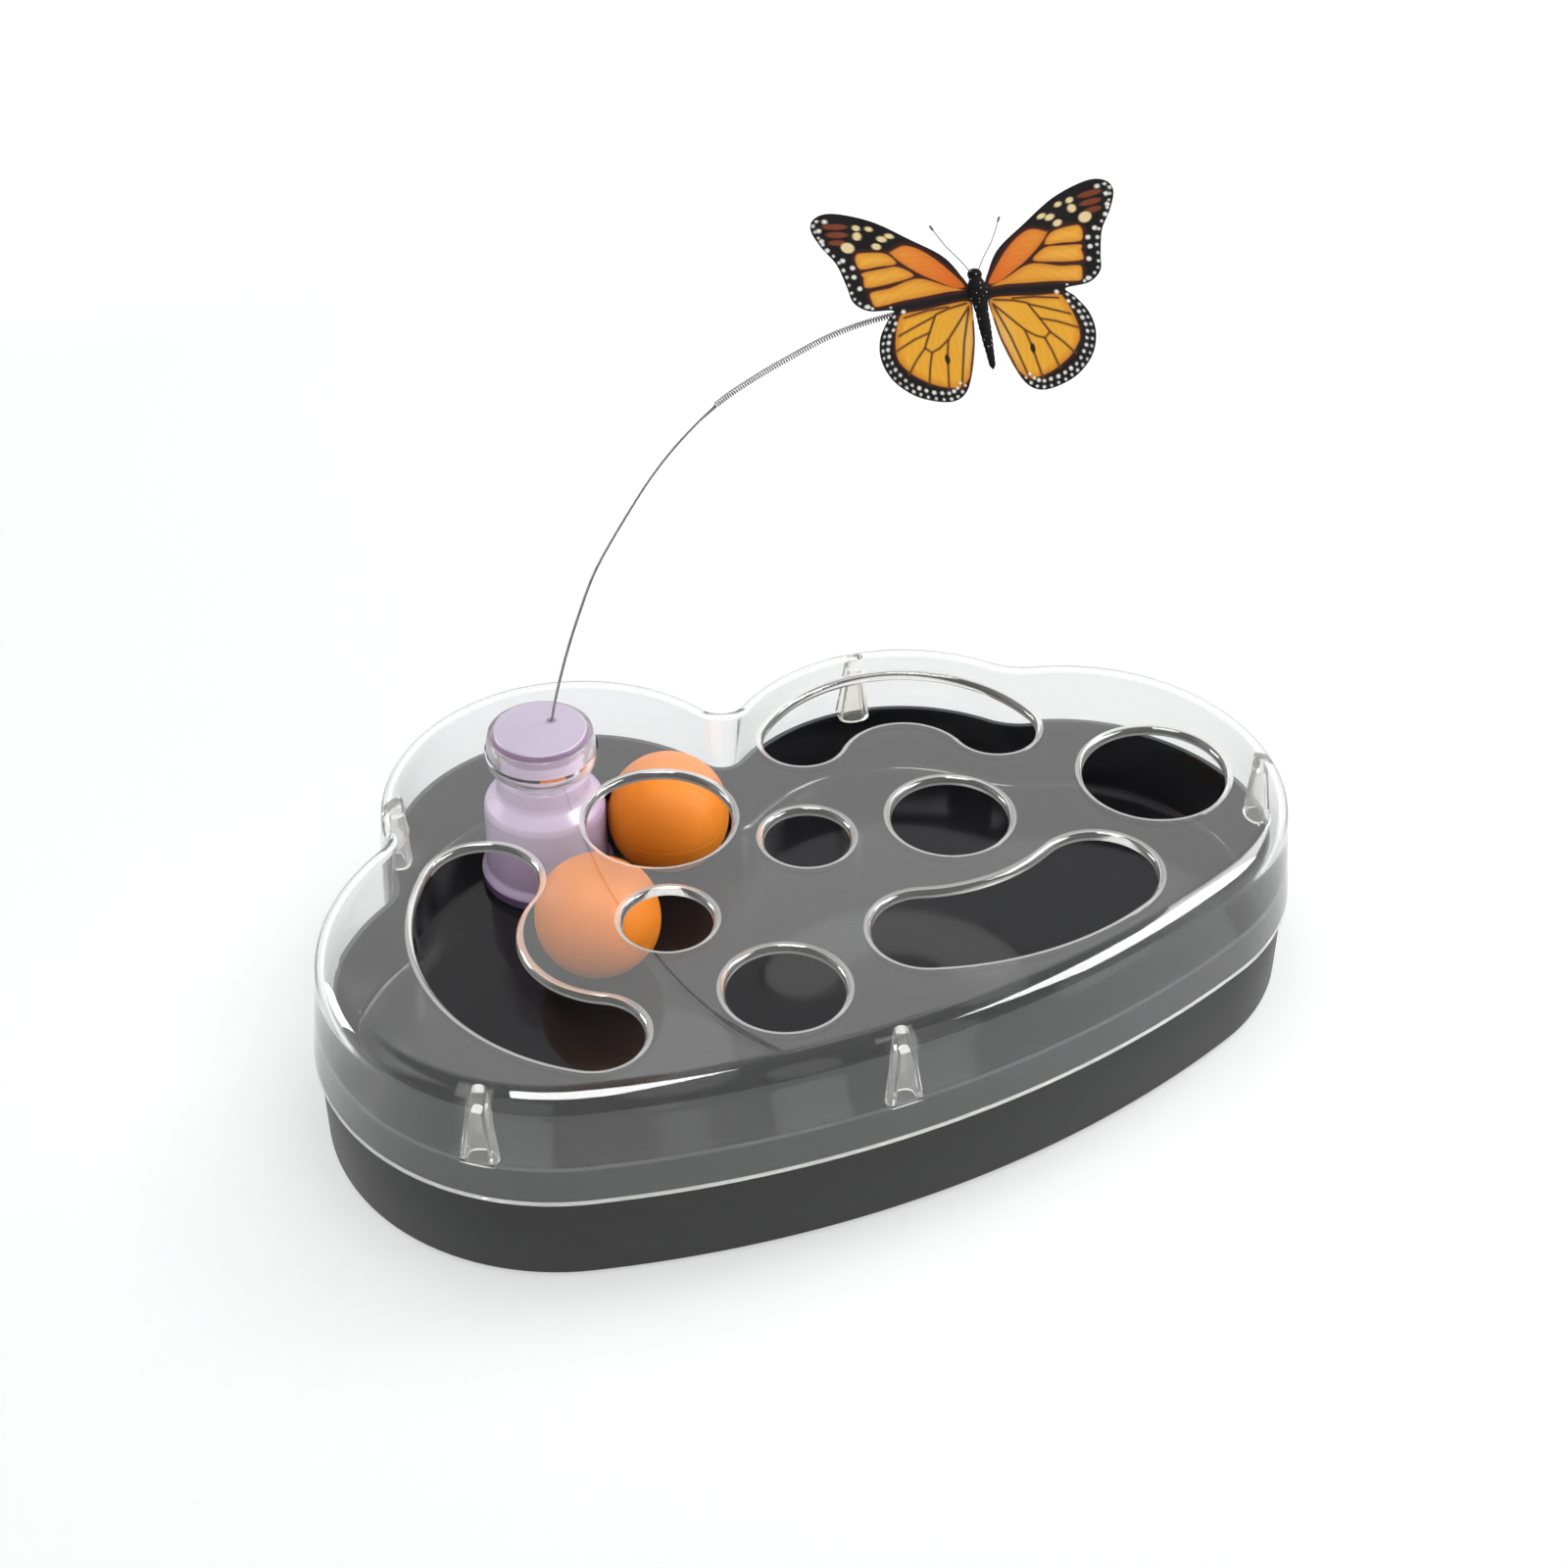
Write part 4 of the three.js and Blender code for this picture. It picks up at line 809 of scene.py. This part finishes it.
coil = [coil_point(spring_start, 0), coil_point(spring_start + 0.4, 0)]
steps = curls * CURL_STEPS
for i in range(steps + 1):
    share = i / steps
    coil.append(coil_point(spring_start + TAIL + (SPRING_LENGTH - 2 * TAIL) * share, 2 * math.pi * curls * share))
coil += [coil_point(spring_end - 0.4, 0), coil_point(spring_end, 0)]
spring = tube("wire_coil", [p * MM for p in coil], SPRING_WIRE * MM, 8)
coil_steel = finish("coil_steel", (0.13, 0.13, 0.135), 0.38, drift=0.1, grain=2200, bump=0.1, metallic=0.7)
wear_finish(spring, coil_steel)
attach(spring, "rotor")
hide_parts("wire_spring")
sleeve_from, sleeve_to = spring_start - FERRULE_L, spring_start + 0.5
sleeve_line = [on_wire(s) * MM for s in np.linspace(sleeve_from, sleeve_to, 40)]
taper = np.interp(np.linspace(0, 1, 40), [0, 0.2, 0.9, 1], [0.53, 0.58, 0.66, 0.6])
sleeve = tube("wire_joining_sleeve", sleeve_line, MM, 24, taper)
wear_finish(sleeve, steel)
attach(sleeve, "rotor")
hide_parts("wire_ferrule")
print("wire", round(total, 1), "mm, curls", curls)

# %% [markdown]
# The butterfly is a printed film with a real monarch's natural pattern. Each wing is a grid whose rows are
# pulled out from the root to the wing's edge. Its print is stored as a colour on each point: orange cells,
# dark veins, and a dark border with two rows of white dots.

# %% Wing shape
tilt, lean, view_tilt = math.radians(7.5), math.radians(11.2), math.radians(38.06)
away = np.array((0.4493, 0.8934, 0.0))
rise = away * math.sin(view_tilt) + np.array((0, 0, math.cos(view_tilt)))
facing = np.cross(PLANE, rise)
wing_x = PLANE * math.cos(tilt) + rise * math.sin(tilt)
wing_y = rise * math.cos(lean) - PLANE * math.sin(lean)
BODY_AHEAD, BODY_ASIDE = 3.2, 1.25
thorax = on_wire(total) + BODY_AHEAD * facing + BODY_ASIDE * wing_x


def placed(x, y, z):
    across, up, out = (np.multiply.outer(*pair) for pair in ((x, wing_x), (y, wing_y), (z, facing)))
    return (thorax + across + up + out) * MM


ROOT_X, ROOT_Y, FILM, EDGE_POINTS = 2.45, 2.6, 0.3, 421
WING = [
    (ROOT_X, ROOT_Y), (7.5, 11.3), (17, 18.3), (26.8, 24.7), (36.5, 28.1), (42, 27.6), (44, 24.4), (42, 19),
    (38.6, 13.5), (36.9, 6.8), (35.9, 2.0), (32.0, -1.0), (25.0, -1.9), (27.3, -4.6), (30.4, -9.6), (31.2, -15.6),
    (29, -21.8), (24, -26.8), (18, -29.4), (12.5, -30), (8.6, -27.6), (5.8, -21.6), (3.7, -14), (2.7, -7),
    (ROOT_X, -ROOT_Y),
]


def plain_spline(points, per):
    p = [points[0], *points, points[-1]]
    out = []
    for p0, p1, p2, p3 in zip(p, p[1:], p[2:], p[3:]):
        v0, v1 = (p2 - p0) * 0.5, (p3 - p1) * 0.5
        for k in range(per):
            t = k / per
            out.append((2 * p1 - 2 * p2 + v0 + v1) * t**3 + (-3 * p1 + 3 * p2 - 2 * v0 - v1) * t * t + v0 * t + p1)
    out.append(points[-1])
    return np.array(out)


def evenly(line, count):
    s = run_along(line)
    t = np.linspace(0, s[-1], count)
    return np.stack([np.interp(t, s, line[:, 0]), np.interp(t, s, line[:, 1])], 1)


wing_edge = evenly(plain_spline([np.array(p, float) for p in WING], 30), EDGE_POINTS)
print("points on a wing's edge", len(wing_edge))

# %% [markdown]
# The print is drawn with distances: how far a point lies from the wing's edge, from each vein and from each
# dot, and whether it lies inside a coloured cell.

# %% Wing print
FORE_CELLS = [
    [(23.2, 14.9), (18.8, 16.5), (14.8, 15.2), (10.2, 11.5), (5.4, 5.8), (3.3, 2.3), (6.6, 2.3), (12.0, 5.3),
     (16.1, 7.9), (20.7, 11.8)],
    [(33.2, 13.7), (32.8, 15.3), (31.0, 16.0), (24.2, 14.9), (21.5, 11.4), (26.8, 11.1), (32.1, 11.1)],
    [(31.8, 8.7), (31.8, 10.2), (25.7, 10.7), (21.2, 10.6), (17.2, 7.3), (24.5, 5.8), (31.2, 5.5), (32.0, 6.8)],
    [(30.9, 2.4), (30.4, 4.3), (24.6, 4.9), (16.3, 6.6), (8.6, 3.4), (3.8, 1.4), (8.9, 1.3), (14.9, 0.9),
     (22.2, 0.4), (27.1, -0.2), (30.1, -0.1)],
]
HIND_CELL = [
    (23.4, -3.7), (21.5, -3.2), (15.5, -2.9), (9.3, -2.2), (3.2, -2.2), (2.9, -5.5), (2.0, -9.2), (3.6, -15.2),
    (5.8, -21.2), (8.7, -25.4), (11.2, -26.2), (16.0, -25.1), (19.9, -23.1), (23.2, -20.6), (26.0, -16.9),
    (26.4, -13.2), (25.6, -9.1), (24.6, -6.2),
]
VEINS = [
    [(4.0, -2.5), (9.5, -3.4), (13.3, -4.6), (15.5, -8.6), (18.2, -13.7), (16.4, -15.3), (13.9, -14.3),
     (11.1, -12.2), (7.8, -8.5), (3.5, -3.6)],
    [(13.6, -5.0), (18.4, -6.8), (24.9, -9.4)], [(16.0, -9.5), (20.7, -11.0), (26.6, -13.7)],
    [(18.2, -13.8), (21.2, -16.9), (24.1, -20.7)], [(16.4, -15.3), (17.7, -19.2), (18.9, -24.2)],
    [(11.1, -12.2), (12.2, -16.9), (13.6, -26.6)], [(3.6, -4.2), (6.7, -13.4), (10.0, -27.0)],
    [(3.0, -7.9), (3.9, -13.8), (6.3, -21.9), (7.6, -27.2)], [(9.4, -2.8), (15.5, -3.1), (22.4, -4.4)],
]
BROWN_SPOTS = [((37.0, 24.3), (3.6, 0.85)), ((36.8, 21.9), (3.2, 0.85)), ((37.1, 19.6), (2.5, 0.8))]
CREAM_SPOTS = [
    ((31.0, 23.2), (1.1, 0.8)), ((31.2, 20.8), (1.2, 1.2)), ((34.5, 17.8), (1.9, 1.5)), ((27.5, 22.4), (1.1, 0.7)),
    ((22.1, 19.6), (1.3, 0.7)), ((24.4, 19.0), (1.4, 0.85)), ((26.3, 17.1), (1.3, 0.9)),
]
# Each row of margin dots has its depth from the edge, its spacing, its dot size and where it starts and stops.
MARGIN_DOTS = [(0.9, 2.25, 0.42, 50, 86), (0.9, 2.3, 0.38, 89, 139), (2.5, 2.5, 0.5, 90, 138)]
INNER_DOTS = [
    (39.6, 26.1), (41.7, 23.7), (41.5, 20.6), (40.4, 17.8), (36.6, 14.3), (34.2, 11.9), (34.3, 9.2),
    (33.3, 5.7), (32.0, 0.2),
]
# The inks. A cell's pair of tones goes from the wing's root outwards, and its edge is burnt towards brown.
BORDER_INK, HALO_INK = (0.005, 0.003, 0.003), (0.07, 0.014, 0.006)
VEIN_INK, GLOW_INK = (0.035, 0.012, 0.006), (0.35, 0.10, 0.01)
FIRST_CELL, OTHER_CELLS = ((0.84, 0.11, 0.010), (0.95, 0.36, 0.045)), ((0.90, 0.34, 0.025), (0.97, 0.47, 0.055))
HIND_INK, HIND_PALE = (0.95, 0.45, 0.035), (0.95, 0.68, 0.30)
FORE_BURNT, HIND_BURNT = (0.72, 0.17, 0.012), (0.66, 0.17, 0.012)
BROWN_INK, CREAM_INK = (0.22, 0.048, 0.016), (0.92, 0.72, 0.38)
DOT_INK, MARGIN_INK = (0.92, 0.88, 0.80), (0.92, 0.90, 0.85)
SCENT_SPOT, SCENT_INK = ((12.4, -17.8), (0.75, 1.5)), (0.02, 0.01, 0.006)


def segment_distance(q, a, b):
    d = b - a
    t = np.clip(((q - a) @ d) / (d @ d + 1e-12), 0, 1)
    return np.linalg.norm(q - a - t[:, None] * d, axis=1)


def line_distance(q, line):
    line = np.array(line, float)
    return np.min([segment_distance(q, a, b) for a, b in zip(line, line[1:])], axis=0)


def inside(q, loop):
    x, y = q.T
    loop = np.array(loop, float)
    hit = np.zeros(len(q), bool)
    for a, b in zip(loop, np.roll(loop, -1, 0)):
        crosses = (a[1] > y) != (b[1] > y)
        hit ^= crosses & (x < (b[0] - a[0]) * (y - a[1]) / (b[1] - a[1] + 1e-12) + a[0])
    return hit


def rounded_cell(q, loop, swell=-0.2, fade=0.3):
    loop = evenly(plain_spline([np.array(p, float) for p in [*loop, loop[0]]], 8), 90)
    d = line_distance(q, np.vstack([loop, loop[:1]]))
    return np.clip(0.5 + (np.where(inside(q, loop), d, -d) + swell) / fade, 0, 1)


def spot(q, centre, size, turn=0.0):
    c, s = math.cos(turn), math.sin(turn)
    d = q - np.array(centre)
    u, v = d @ np.array((c, s)), d @ np.array((-s, c))
    r = np.hypot(u / size[0], v / size[1])
    return np.clip(0.5 + (1 - r) * min(size) / 0.25, 0, 1)


def over(base, colour, amount):
    return base * (1 - amount[:, None]) + np.array(colour) * amount[:, None]


def wing_print(q):
    rng = np.random.default_rng(7)
    x, y = q.T
    ink = np.tile(np.array(BORDER_INK), (len(q), 1))
    root = np.clip(np.hypot(x, y) / 30, 0, 1)[:, None]
    for loop in (*FORE_CELLS, HIND_CELL):
        ink = over(ink, HALO_INK, rounded_cell(q, loop, 0.5, 1.6))
    for i, loop in enumerate(FORE_CELLS):
        deep, warm = (np.array(tone) for tone in (OTHER_CELLS if i else FIRST_CELL))
        edge_tone = 0.6 - 0.6 * rounded_cell(q, loop, -1.0, 1.8)
        colour = over(deep * (1 - root) + warm * root, FORE_BURNT, edge_tone)
        ink = over(ink, colour, rounded_cell(q, loop))
    pale = np.clip((9 - x) / 9, 0, 1)[:, None] * np.clip((-y - 2) / 12, 0, 1)[:, None]
    colour = np.array(HIND_INK) * (1 - pale) + np.array(HIND_PALE) * pale
    colour = over(colour, HIND_BURNT, 0.6 - 0.6 * rounded_cell(q, HIND_CELL, -1.1, 2.0))
    ink = over(ink, colour, rounded_cell(q, HIND_CELL, 0.1))
    fine = 0.5 + 0.5 * np.sin(np.hypot(x - 2, y) * 2.1 + np.arctan2(y, x) * 60)
    ink = ink * (0.94 + 0.06 * fine[:, None])
    for line in VEINS:
        d = line_distance(q, line)
        ink = over(ink, VEIN_INK, np.clip(0.5 + (0.3 - d) / 0.25, 0, 1) * 0.95)
        ink = over(ink, GLOW_INK, np.clip(1 - d / 0.9, 0, 1) * 0.25)
    ink = over(ink, SCENT_INK, spot(q, *SCENT_SPOT))
    for centre, size in BROWN_SPOTS:
        ink = over(ink, BROWN_INK, spot(q, centre, size, 0.12))
    for centre, size in CREAM_SPOTS:
        ink = over(ink, CREAM_INK, spot(q, centre, size, 0.3))
    for centre in INNER_DOTS:
        ink = over(ink, DOT_INK, spot(q, centre, (0.7, 0.62)))
    rim = evenly(wing_edge, 2 * EDGE_POINTS - 1)
    tangent = np.gradient(rim, axis=0)
    inward = np.stack([tangent[:, 1], -tangent[:, 0]], 1)
    inward /= np.linalg.norm(inward, axis=1)[:, None]
    run = run_along(rim)
    for depth, gap, size, first, last in MARGIN_DOTS:
        for s in np.arange(first, last, gap):
            k = int(np.searchsorted(run, s))
            if k < len(rim):
                wobble = rng.uniform(0.8, 1.2)
                centre = rim[k] + inward[k] * (depth + rng.uniform(-0.2, 0.2))
                ink = over(ink, MARGIN_INK, spot(q, centre, (size * wobble, size * wobble)))
    return np.clip(ink, 0, 1)


# %% Wings
def wing(name, side):
    rows, columns = 110, len(wing_edge) - 1
    start_piece()
    bpy.ops.mesh.primitive_grid_add(x_subdivisions=columns, y_subdivisions=rows, size=1)
    piece = named(name)
    root = np.linspace(0, 1, columns + 1)
    spine = np.stack([np.full(columns + 1, ROOT_X), ROOT_Y - 2 * ROOT_Y * root], 1)
    share = np.linspace(0, 1, rows + 1)
    q = (spine[None] * (1 - share[:, None, None]) + wing_edge[None] * share[:, None, None]).reshape(-1, 2)
    mesh = piece.data
    assert len(mesh.vertices) == len(q)
    x, y = q.T
    wave = 0.18 * np.sin(x * 0.35) * np.clip(x / 20, 0, 1)
    mesh.vertices.foreach_set("co", placed(x * side, y, wave).astype(np.float32).ravel())
    ink = mesh.color_attributes.new("print", "FLOAT_COLOR", "POINT")
    ink.data.foreach_set("color", np.column_stack([wing_print(q), np.ones(len(q))]).astype(np.float32).ravel())
    bpy.ops.object.mode_set(mode="EDIT")
    bpy.ops.mesh.select_all(action="SELECT")
    bpy.ops.mesh.remove_doubles(threshold=2e-6)
    bpy.ops.mesh.normals_make_consistent(inside=False)
    bpy.ops.object.mode_set(mode="OBJECT")
    apply_modifier(piece, "SOLIDIFY", thickness=FILM * MM, offset=0)
    smooth_piece(piece, 40)
    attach(piece, f"{name.split('_')[0]}_wing")
    return piece


def print_finish():
    material = finish("wing_print", (0.6, 0.3, 0.1), 0.7, grain=1800, bump=0.15, Specular_IOR_Level=0.08)
    ink = add_node(material, "Attribute")
    ink.attribute_name = "print"
    return repaint(material, ink, "Color")


film = print_finish()
SIDES = {"right": 1, "left": -1}
for side_name, side in SIDES.items():
    piece = wing(f"{side_name}_wing_film", side)
    wear_finish(piece, film)
    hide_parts(f"wing_{side_name}")
print("wing points", len(piece.data.vertices))

# %% [markdown]
# The body is a spun profile with the head, the thorax and the long abdomen, dark and downy, with white flecks.

# %% Butterfly body
BODY_MIDDLE, BODY_HALF = -7.6, 14.9
body_profile = [
    (0, 7.3), (1.2, 7.0), (1.9, 6.2), (2.05, 5.3), (1.7, 4.3), (2.3, 3.2), (2.85, 1.4), (2.75, -0.8),
    (2.15, -3.0), (1.8, -5.5), (1.75, -9), (1.45, -14), (1.1, -18), (0.85, -21.3), (0, -22.5),
]
start_piece()
bpy.ops.mesh.primitive_uv_sphere_add(segments=48, ring_count=90, radius=1)
torso = named("butterfly_torso")
heights = np.array([p[1] for p in body_profile])[::-1]
widths = np.array([p[0] for p in body_profile])[::-1]
co = np.array([v.co for v in torso.data.vertices])
y = BODY_MIDDLE + BODY_HALF * co[:, 2]
r = np.interp(y, heights, widths)
flat = np.linalg.norm(co[:, :2], axis=1) + 1e-9
turn = np.arctan2(co[:, 1], co[:, 0])
ridge = 1 + 0.05 * np.sin(y * 3.6) * (y < -4) + 0.05 * np.sin(turn * 17 + y * 9)
r = np.where(flat < 1e-6, 0, r * ridge)
xyz = placed(r * np.cos(turn), y, r * np.sin(turn))
torso.data.vertices.foreach_set("co", xyz.astype(np.float32).ravel())
bpy.ops.object.mode_set(mode="EDIT")
close_piece(torso, 80)


def down_finish():
    material = finish("butterfly_down", (0.006, 0.005, 0.005), 0.9, grain=2500, bump=0.5, Specular_IOR_Level=0.1)
    place = add_node(material, "TexCoord")
    flecks = add_node(material, "TexVoronoi", Scale=700.0)
    pick = ramp(material, (0.10, (0.75, 0.73, 0.68)), (0.16, (0.006, 0.005, 0.005)))
    join(material, (place, "Object", flecks, "Vector"), (flecks, "Distance", pick, "Fac"))
    return repaint(material, pick, "Color")


wear_finish(torso, down_finish())
print("torso points", len(torso.data.vertices))
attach(torso, "rotor")
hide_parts("butterfly_body")
dark_line = finish("feeler_black", (0.02, 0.016, 0.015), 0.6)
FEELER = [(0.6, 5.4, 0.2), (3.2, 9.6, 1.0), (6.8, 14.6, 1.2), (10.1, 20.9, 1.0)]
FEELER_R, CLUB_LENGTH, CLUB_SWELL = 0.13, 1.6, 1.6
for side_name, side in SIDES.items():
    points = [placed(np.array(x * side), np.array(y), np.array(z)) / MM for x, y, z in FEELER]
    route = smooth_line(points, 12) * MM
    feeler = tube(f"feeler_{side_name}", route, FEELER_R * MM, 8)
    tip = Vector(route[-1])
    for v in feeler.data.vertices:
        if (v.co - tip).length < CLUB_LENGTH * MM:
            middle = Vector(route[np.argmin(np.linalg.norm(route - np.array(v.co), axis=1))])
            v.co += (v.co - middle) * CLUB_SWELL
    wear_finish(feeler, dark_line)
    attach(feeler, "rotor")

# %% [markdown]
# Underneath, ribs stiffen the floor and five bosses hold rubber feet. They are seen only when the toy is
# turned over, but they are part of how it is made.

# %% Ribs, bosses and feet
FEET = [(-120, -45), (-75, 75), (60, 50), (125, -50), (0, -75)]
RIBS = [(-135, 135, -45, -45), (-130, 128, 10, 10), (-90, -90, -78, 55), (0, 0, -92, 50), (75, 75, -80, 50)]
RIB_HALF, RIB_LOW, RIB_TOP = 0.8, 7.0, 14.0


def rib(x0, x1, y0, y1):
    return box_tool(x0 - RIB_HALF, x1 + RIB_HALF, y0 - RIB_HALF, y1 + RIB_HALF, RIB_LOW, RIB_TOP)


rib(*RIBS[0])
ribs = named("tray_ribs")
for place in RIBS[1:]:
    cut(ribs, rib(*place), "UNION")
boss_profile = rounded([(0, 1.6), (5.25, 1.6), (5.25, 0.8), (6.6, 0.8), (6.6, RIB_TOP), (0, RIB_TOP)], 3)
foot_profile = rounded([(0, 0), (4.4, 0), (5.0, 0.5), (5.0, 1.6), (0, 1.6)], 3)
for x, y in FEET:
    cut(ribs, turned("boss", boss_profile, (x, y), 48), "UNION")
take(ribs)
bpy.ops.object.transform_apply(location=True, rotation=True, scale=True)
smooth_piece(ribs, 40)
wear_finish(ribs, tray_outside)
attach(ribs, "base")
print("ribs and bosses faces", len(ribs.data.polygons))
for i, (x, y) in enumerate(FEET, 1):
    foot = turned(f"foot_pad_{i}", foot_profile, (x, y), 48)
    wear_finish(foot, rubber)
    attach(foot, "base")
    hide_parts(f"rubber_foot_{i}")

# %% [markdown]
# The pieces inside the motor unit keep their solids. Each gets the finish of what it is made of, chosen by the
# material slot that the record names for it.

# %% Finishes for the solids that stay
INNER_FINISHES = {
    "steel": steel,
    "white_plastic": finish("gear_white", (0.80, 0.80, 0.76), 0.5, grain=1200, bump=0.05),
    "brass": finish("plain_brass", (0.55, 0.36, 0.12), 0.3, metallic=1.0),
    "board_green": finish("board_green", (0.015, 0.10, 0.04), 0.35, drift=0.25, grain=600),
    "cell_blue": finish("cell_blue", (0.02, 0.11, 0.42), 0.3, grain=400),
    "lead_red": finish("lead_red", (0.5, 0.025, 0.015), 0.5),
    "black_plastic": finish("black_plastic", (0.012, 0.012, 0.013), 0.45),
    "lilac_shell": lilac,
    "lilac_cap": lilac_pale,
}
for part in frame["record"]["subparts"]:
    node = frame["nodes"][part["node"]]
    if node.hide_render:
        continue
    wear_finish(node, INNER_FINISHES[part["material_slot"]])
wear_finish(frame["nodes"]["wire_sleeve"], lilac_pale)
print("finishes in all", len(bpy.data.materials))

# %% [markdown]
# Light. The toy stands on a white floor that grows brighter far off, in a white room. In mirrored rays the room
# is dark overhead and in front, which draws the dark band along the rounded front edge of the lid. One soft
# box lights the toy, and three that only mirrored rays see are the white streaks on the lid.

# %% Floor
start_piece()
bpy.ops.mesh.primitive_plane_add(size=12, location=(0, 0, 0))
floor = bpy.context.object
floor.name = "studio_floor"
floor_white, floor_shader = new_material("floor_white")
floor_shader.inputs["Base Color"].default_value = (0.56, 0.56, 0.56, 1)
floor_shader.inputs["Roughness"].default_value = 0.9
floor_shader.inputs["Emission Color"].default_value = (1, 1, 1, 1)
floor_shader.inputs["Specular IOR Level"].default_value = 0.1
place = add_node(floor_white, "TexCoord")
distance = add_node(floor_white, "VectorMath")
distance.operation = "LENGTH"
glow = add_node(floor_white, "MapRange", From_Min=0.5, From_Max=2.0, To_Min=0.46, To_Max=0.85)
join(
    floor_white,
    (place, "Object", distance, 0), (distance, "Value", glow, "Value"),
    (glow, "Result", floor_shader, "Emission Strength"),
)
floor.data.materials.append(floor_white)

# %% World
TOWARDS_CAMERA = (-0.45, -0.893, 0)
world = bpy.data.worlds.new("studio")
scene.world = world
world.use_nodes = True
world.node_tree.nodes.clear()
place, split = add_node(world, "TexCoord"), add_node(world, "SeparateXYZ")
path = add_node(world, "LightPath")
height = ramp(world, (0.76, (1, 1, 1)), (0.86, (0.02, 0.02, 0.02)))
forward = add_node(world, "VectorMath")
forward.operation = "DOT_PRODUCT"
forward.inputs[1].default_value = TOWARDS_CAMERA
front = add_node(world, "MapRange", From_Min=0.12, From_Max=0.35, To_Min=2.0, To_Max=0.08)
shine = add_node(world, "Background")
room = add_node(world, "Background", Color=(0.86, 0.87, 0.88, 1), Strength=0.85)
white = add_node(world, "Background", Color=(1, 1, 1, 1), Strength=1.0)
mirrored, behind = add_node(world, "MixShader"), add_node(world, "MixShader")
seen = add_node(world, "Math")
seen.operation = "MAXIMUM"
join(
    world,
    (place, "Generated", split, "Vector"), (split, "Z", height, "Fac"),
    (place, "Generated", forward, 0), (forward, "Value", front, "Value"),
    (front, "Result", shine, "Strength"), (height, "Color", shine, "Color"),
    (path, "Is Glossy Ray", mirrored, 0), (room, "Background", mirrored, 1),
    (shine, "Background", mirrored, 2),
    (path, "Is Camera Ray", seen, 0), (path, "Is Transmission Ray", seen, 1),
    (seen, "Value", behind, 0), (mirrored, "Shader", behind, 1),
    (white, "Background", behind, 2),
    (behind, "Shader", add_node(world, "OutputWorld"), "Surface"),
)


# %% Lamps
def soft_box(name, place, aim, size, watts):
    data = bpy.data.lights.new(name, "AREA")
    data.shape = "RECTANGLE"
    data.size, data.size_y = size
    data.energy = watts
    lamp = bpy.data.objects.new(name, data)
    scene.collection.objects.link(lamp)
    lamp.location = place
    lamp.rotation_euler = (Vector(aim) - Vector(place)).to_track_quat("-Z", "Y").to_euler()
    return lamp


soft_box("key_right", (1.45, 0.15, 1.35), (0, 0, 0.03), (0.8, 0.8), 13)
shine_boxes = [
    soft_box("shine_above", (-0.2, -0.2, 1.25), (-0.1, -0.05, 0.06), (0.5, 0.65), 23),
    soft_box("shine_right", (0.95, -0.54, 0.95), (0.08, -0.08, 0.06), (0.95, 0.6), 37),
    soft_box("shine_left", (-1.0, 0.95, 0.45), (-0.15, 0, 0.06), (0.5, 0.5), 16),
]
for lamp in shine_boxes:
    lamp.visible_diffuse = False
    lamp.visible_transmission = False
print("boxes that only mirrored rays see", len(shine_boxes))
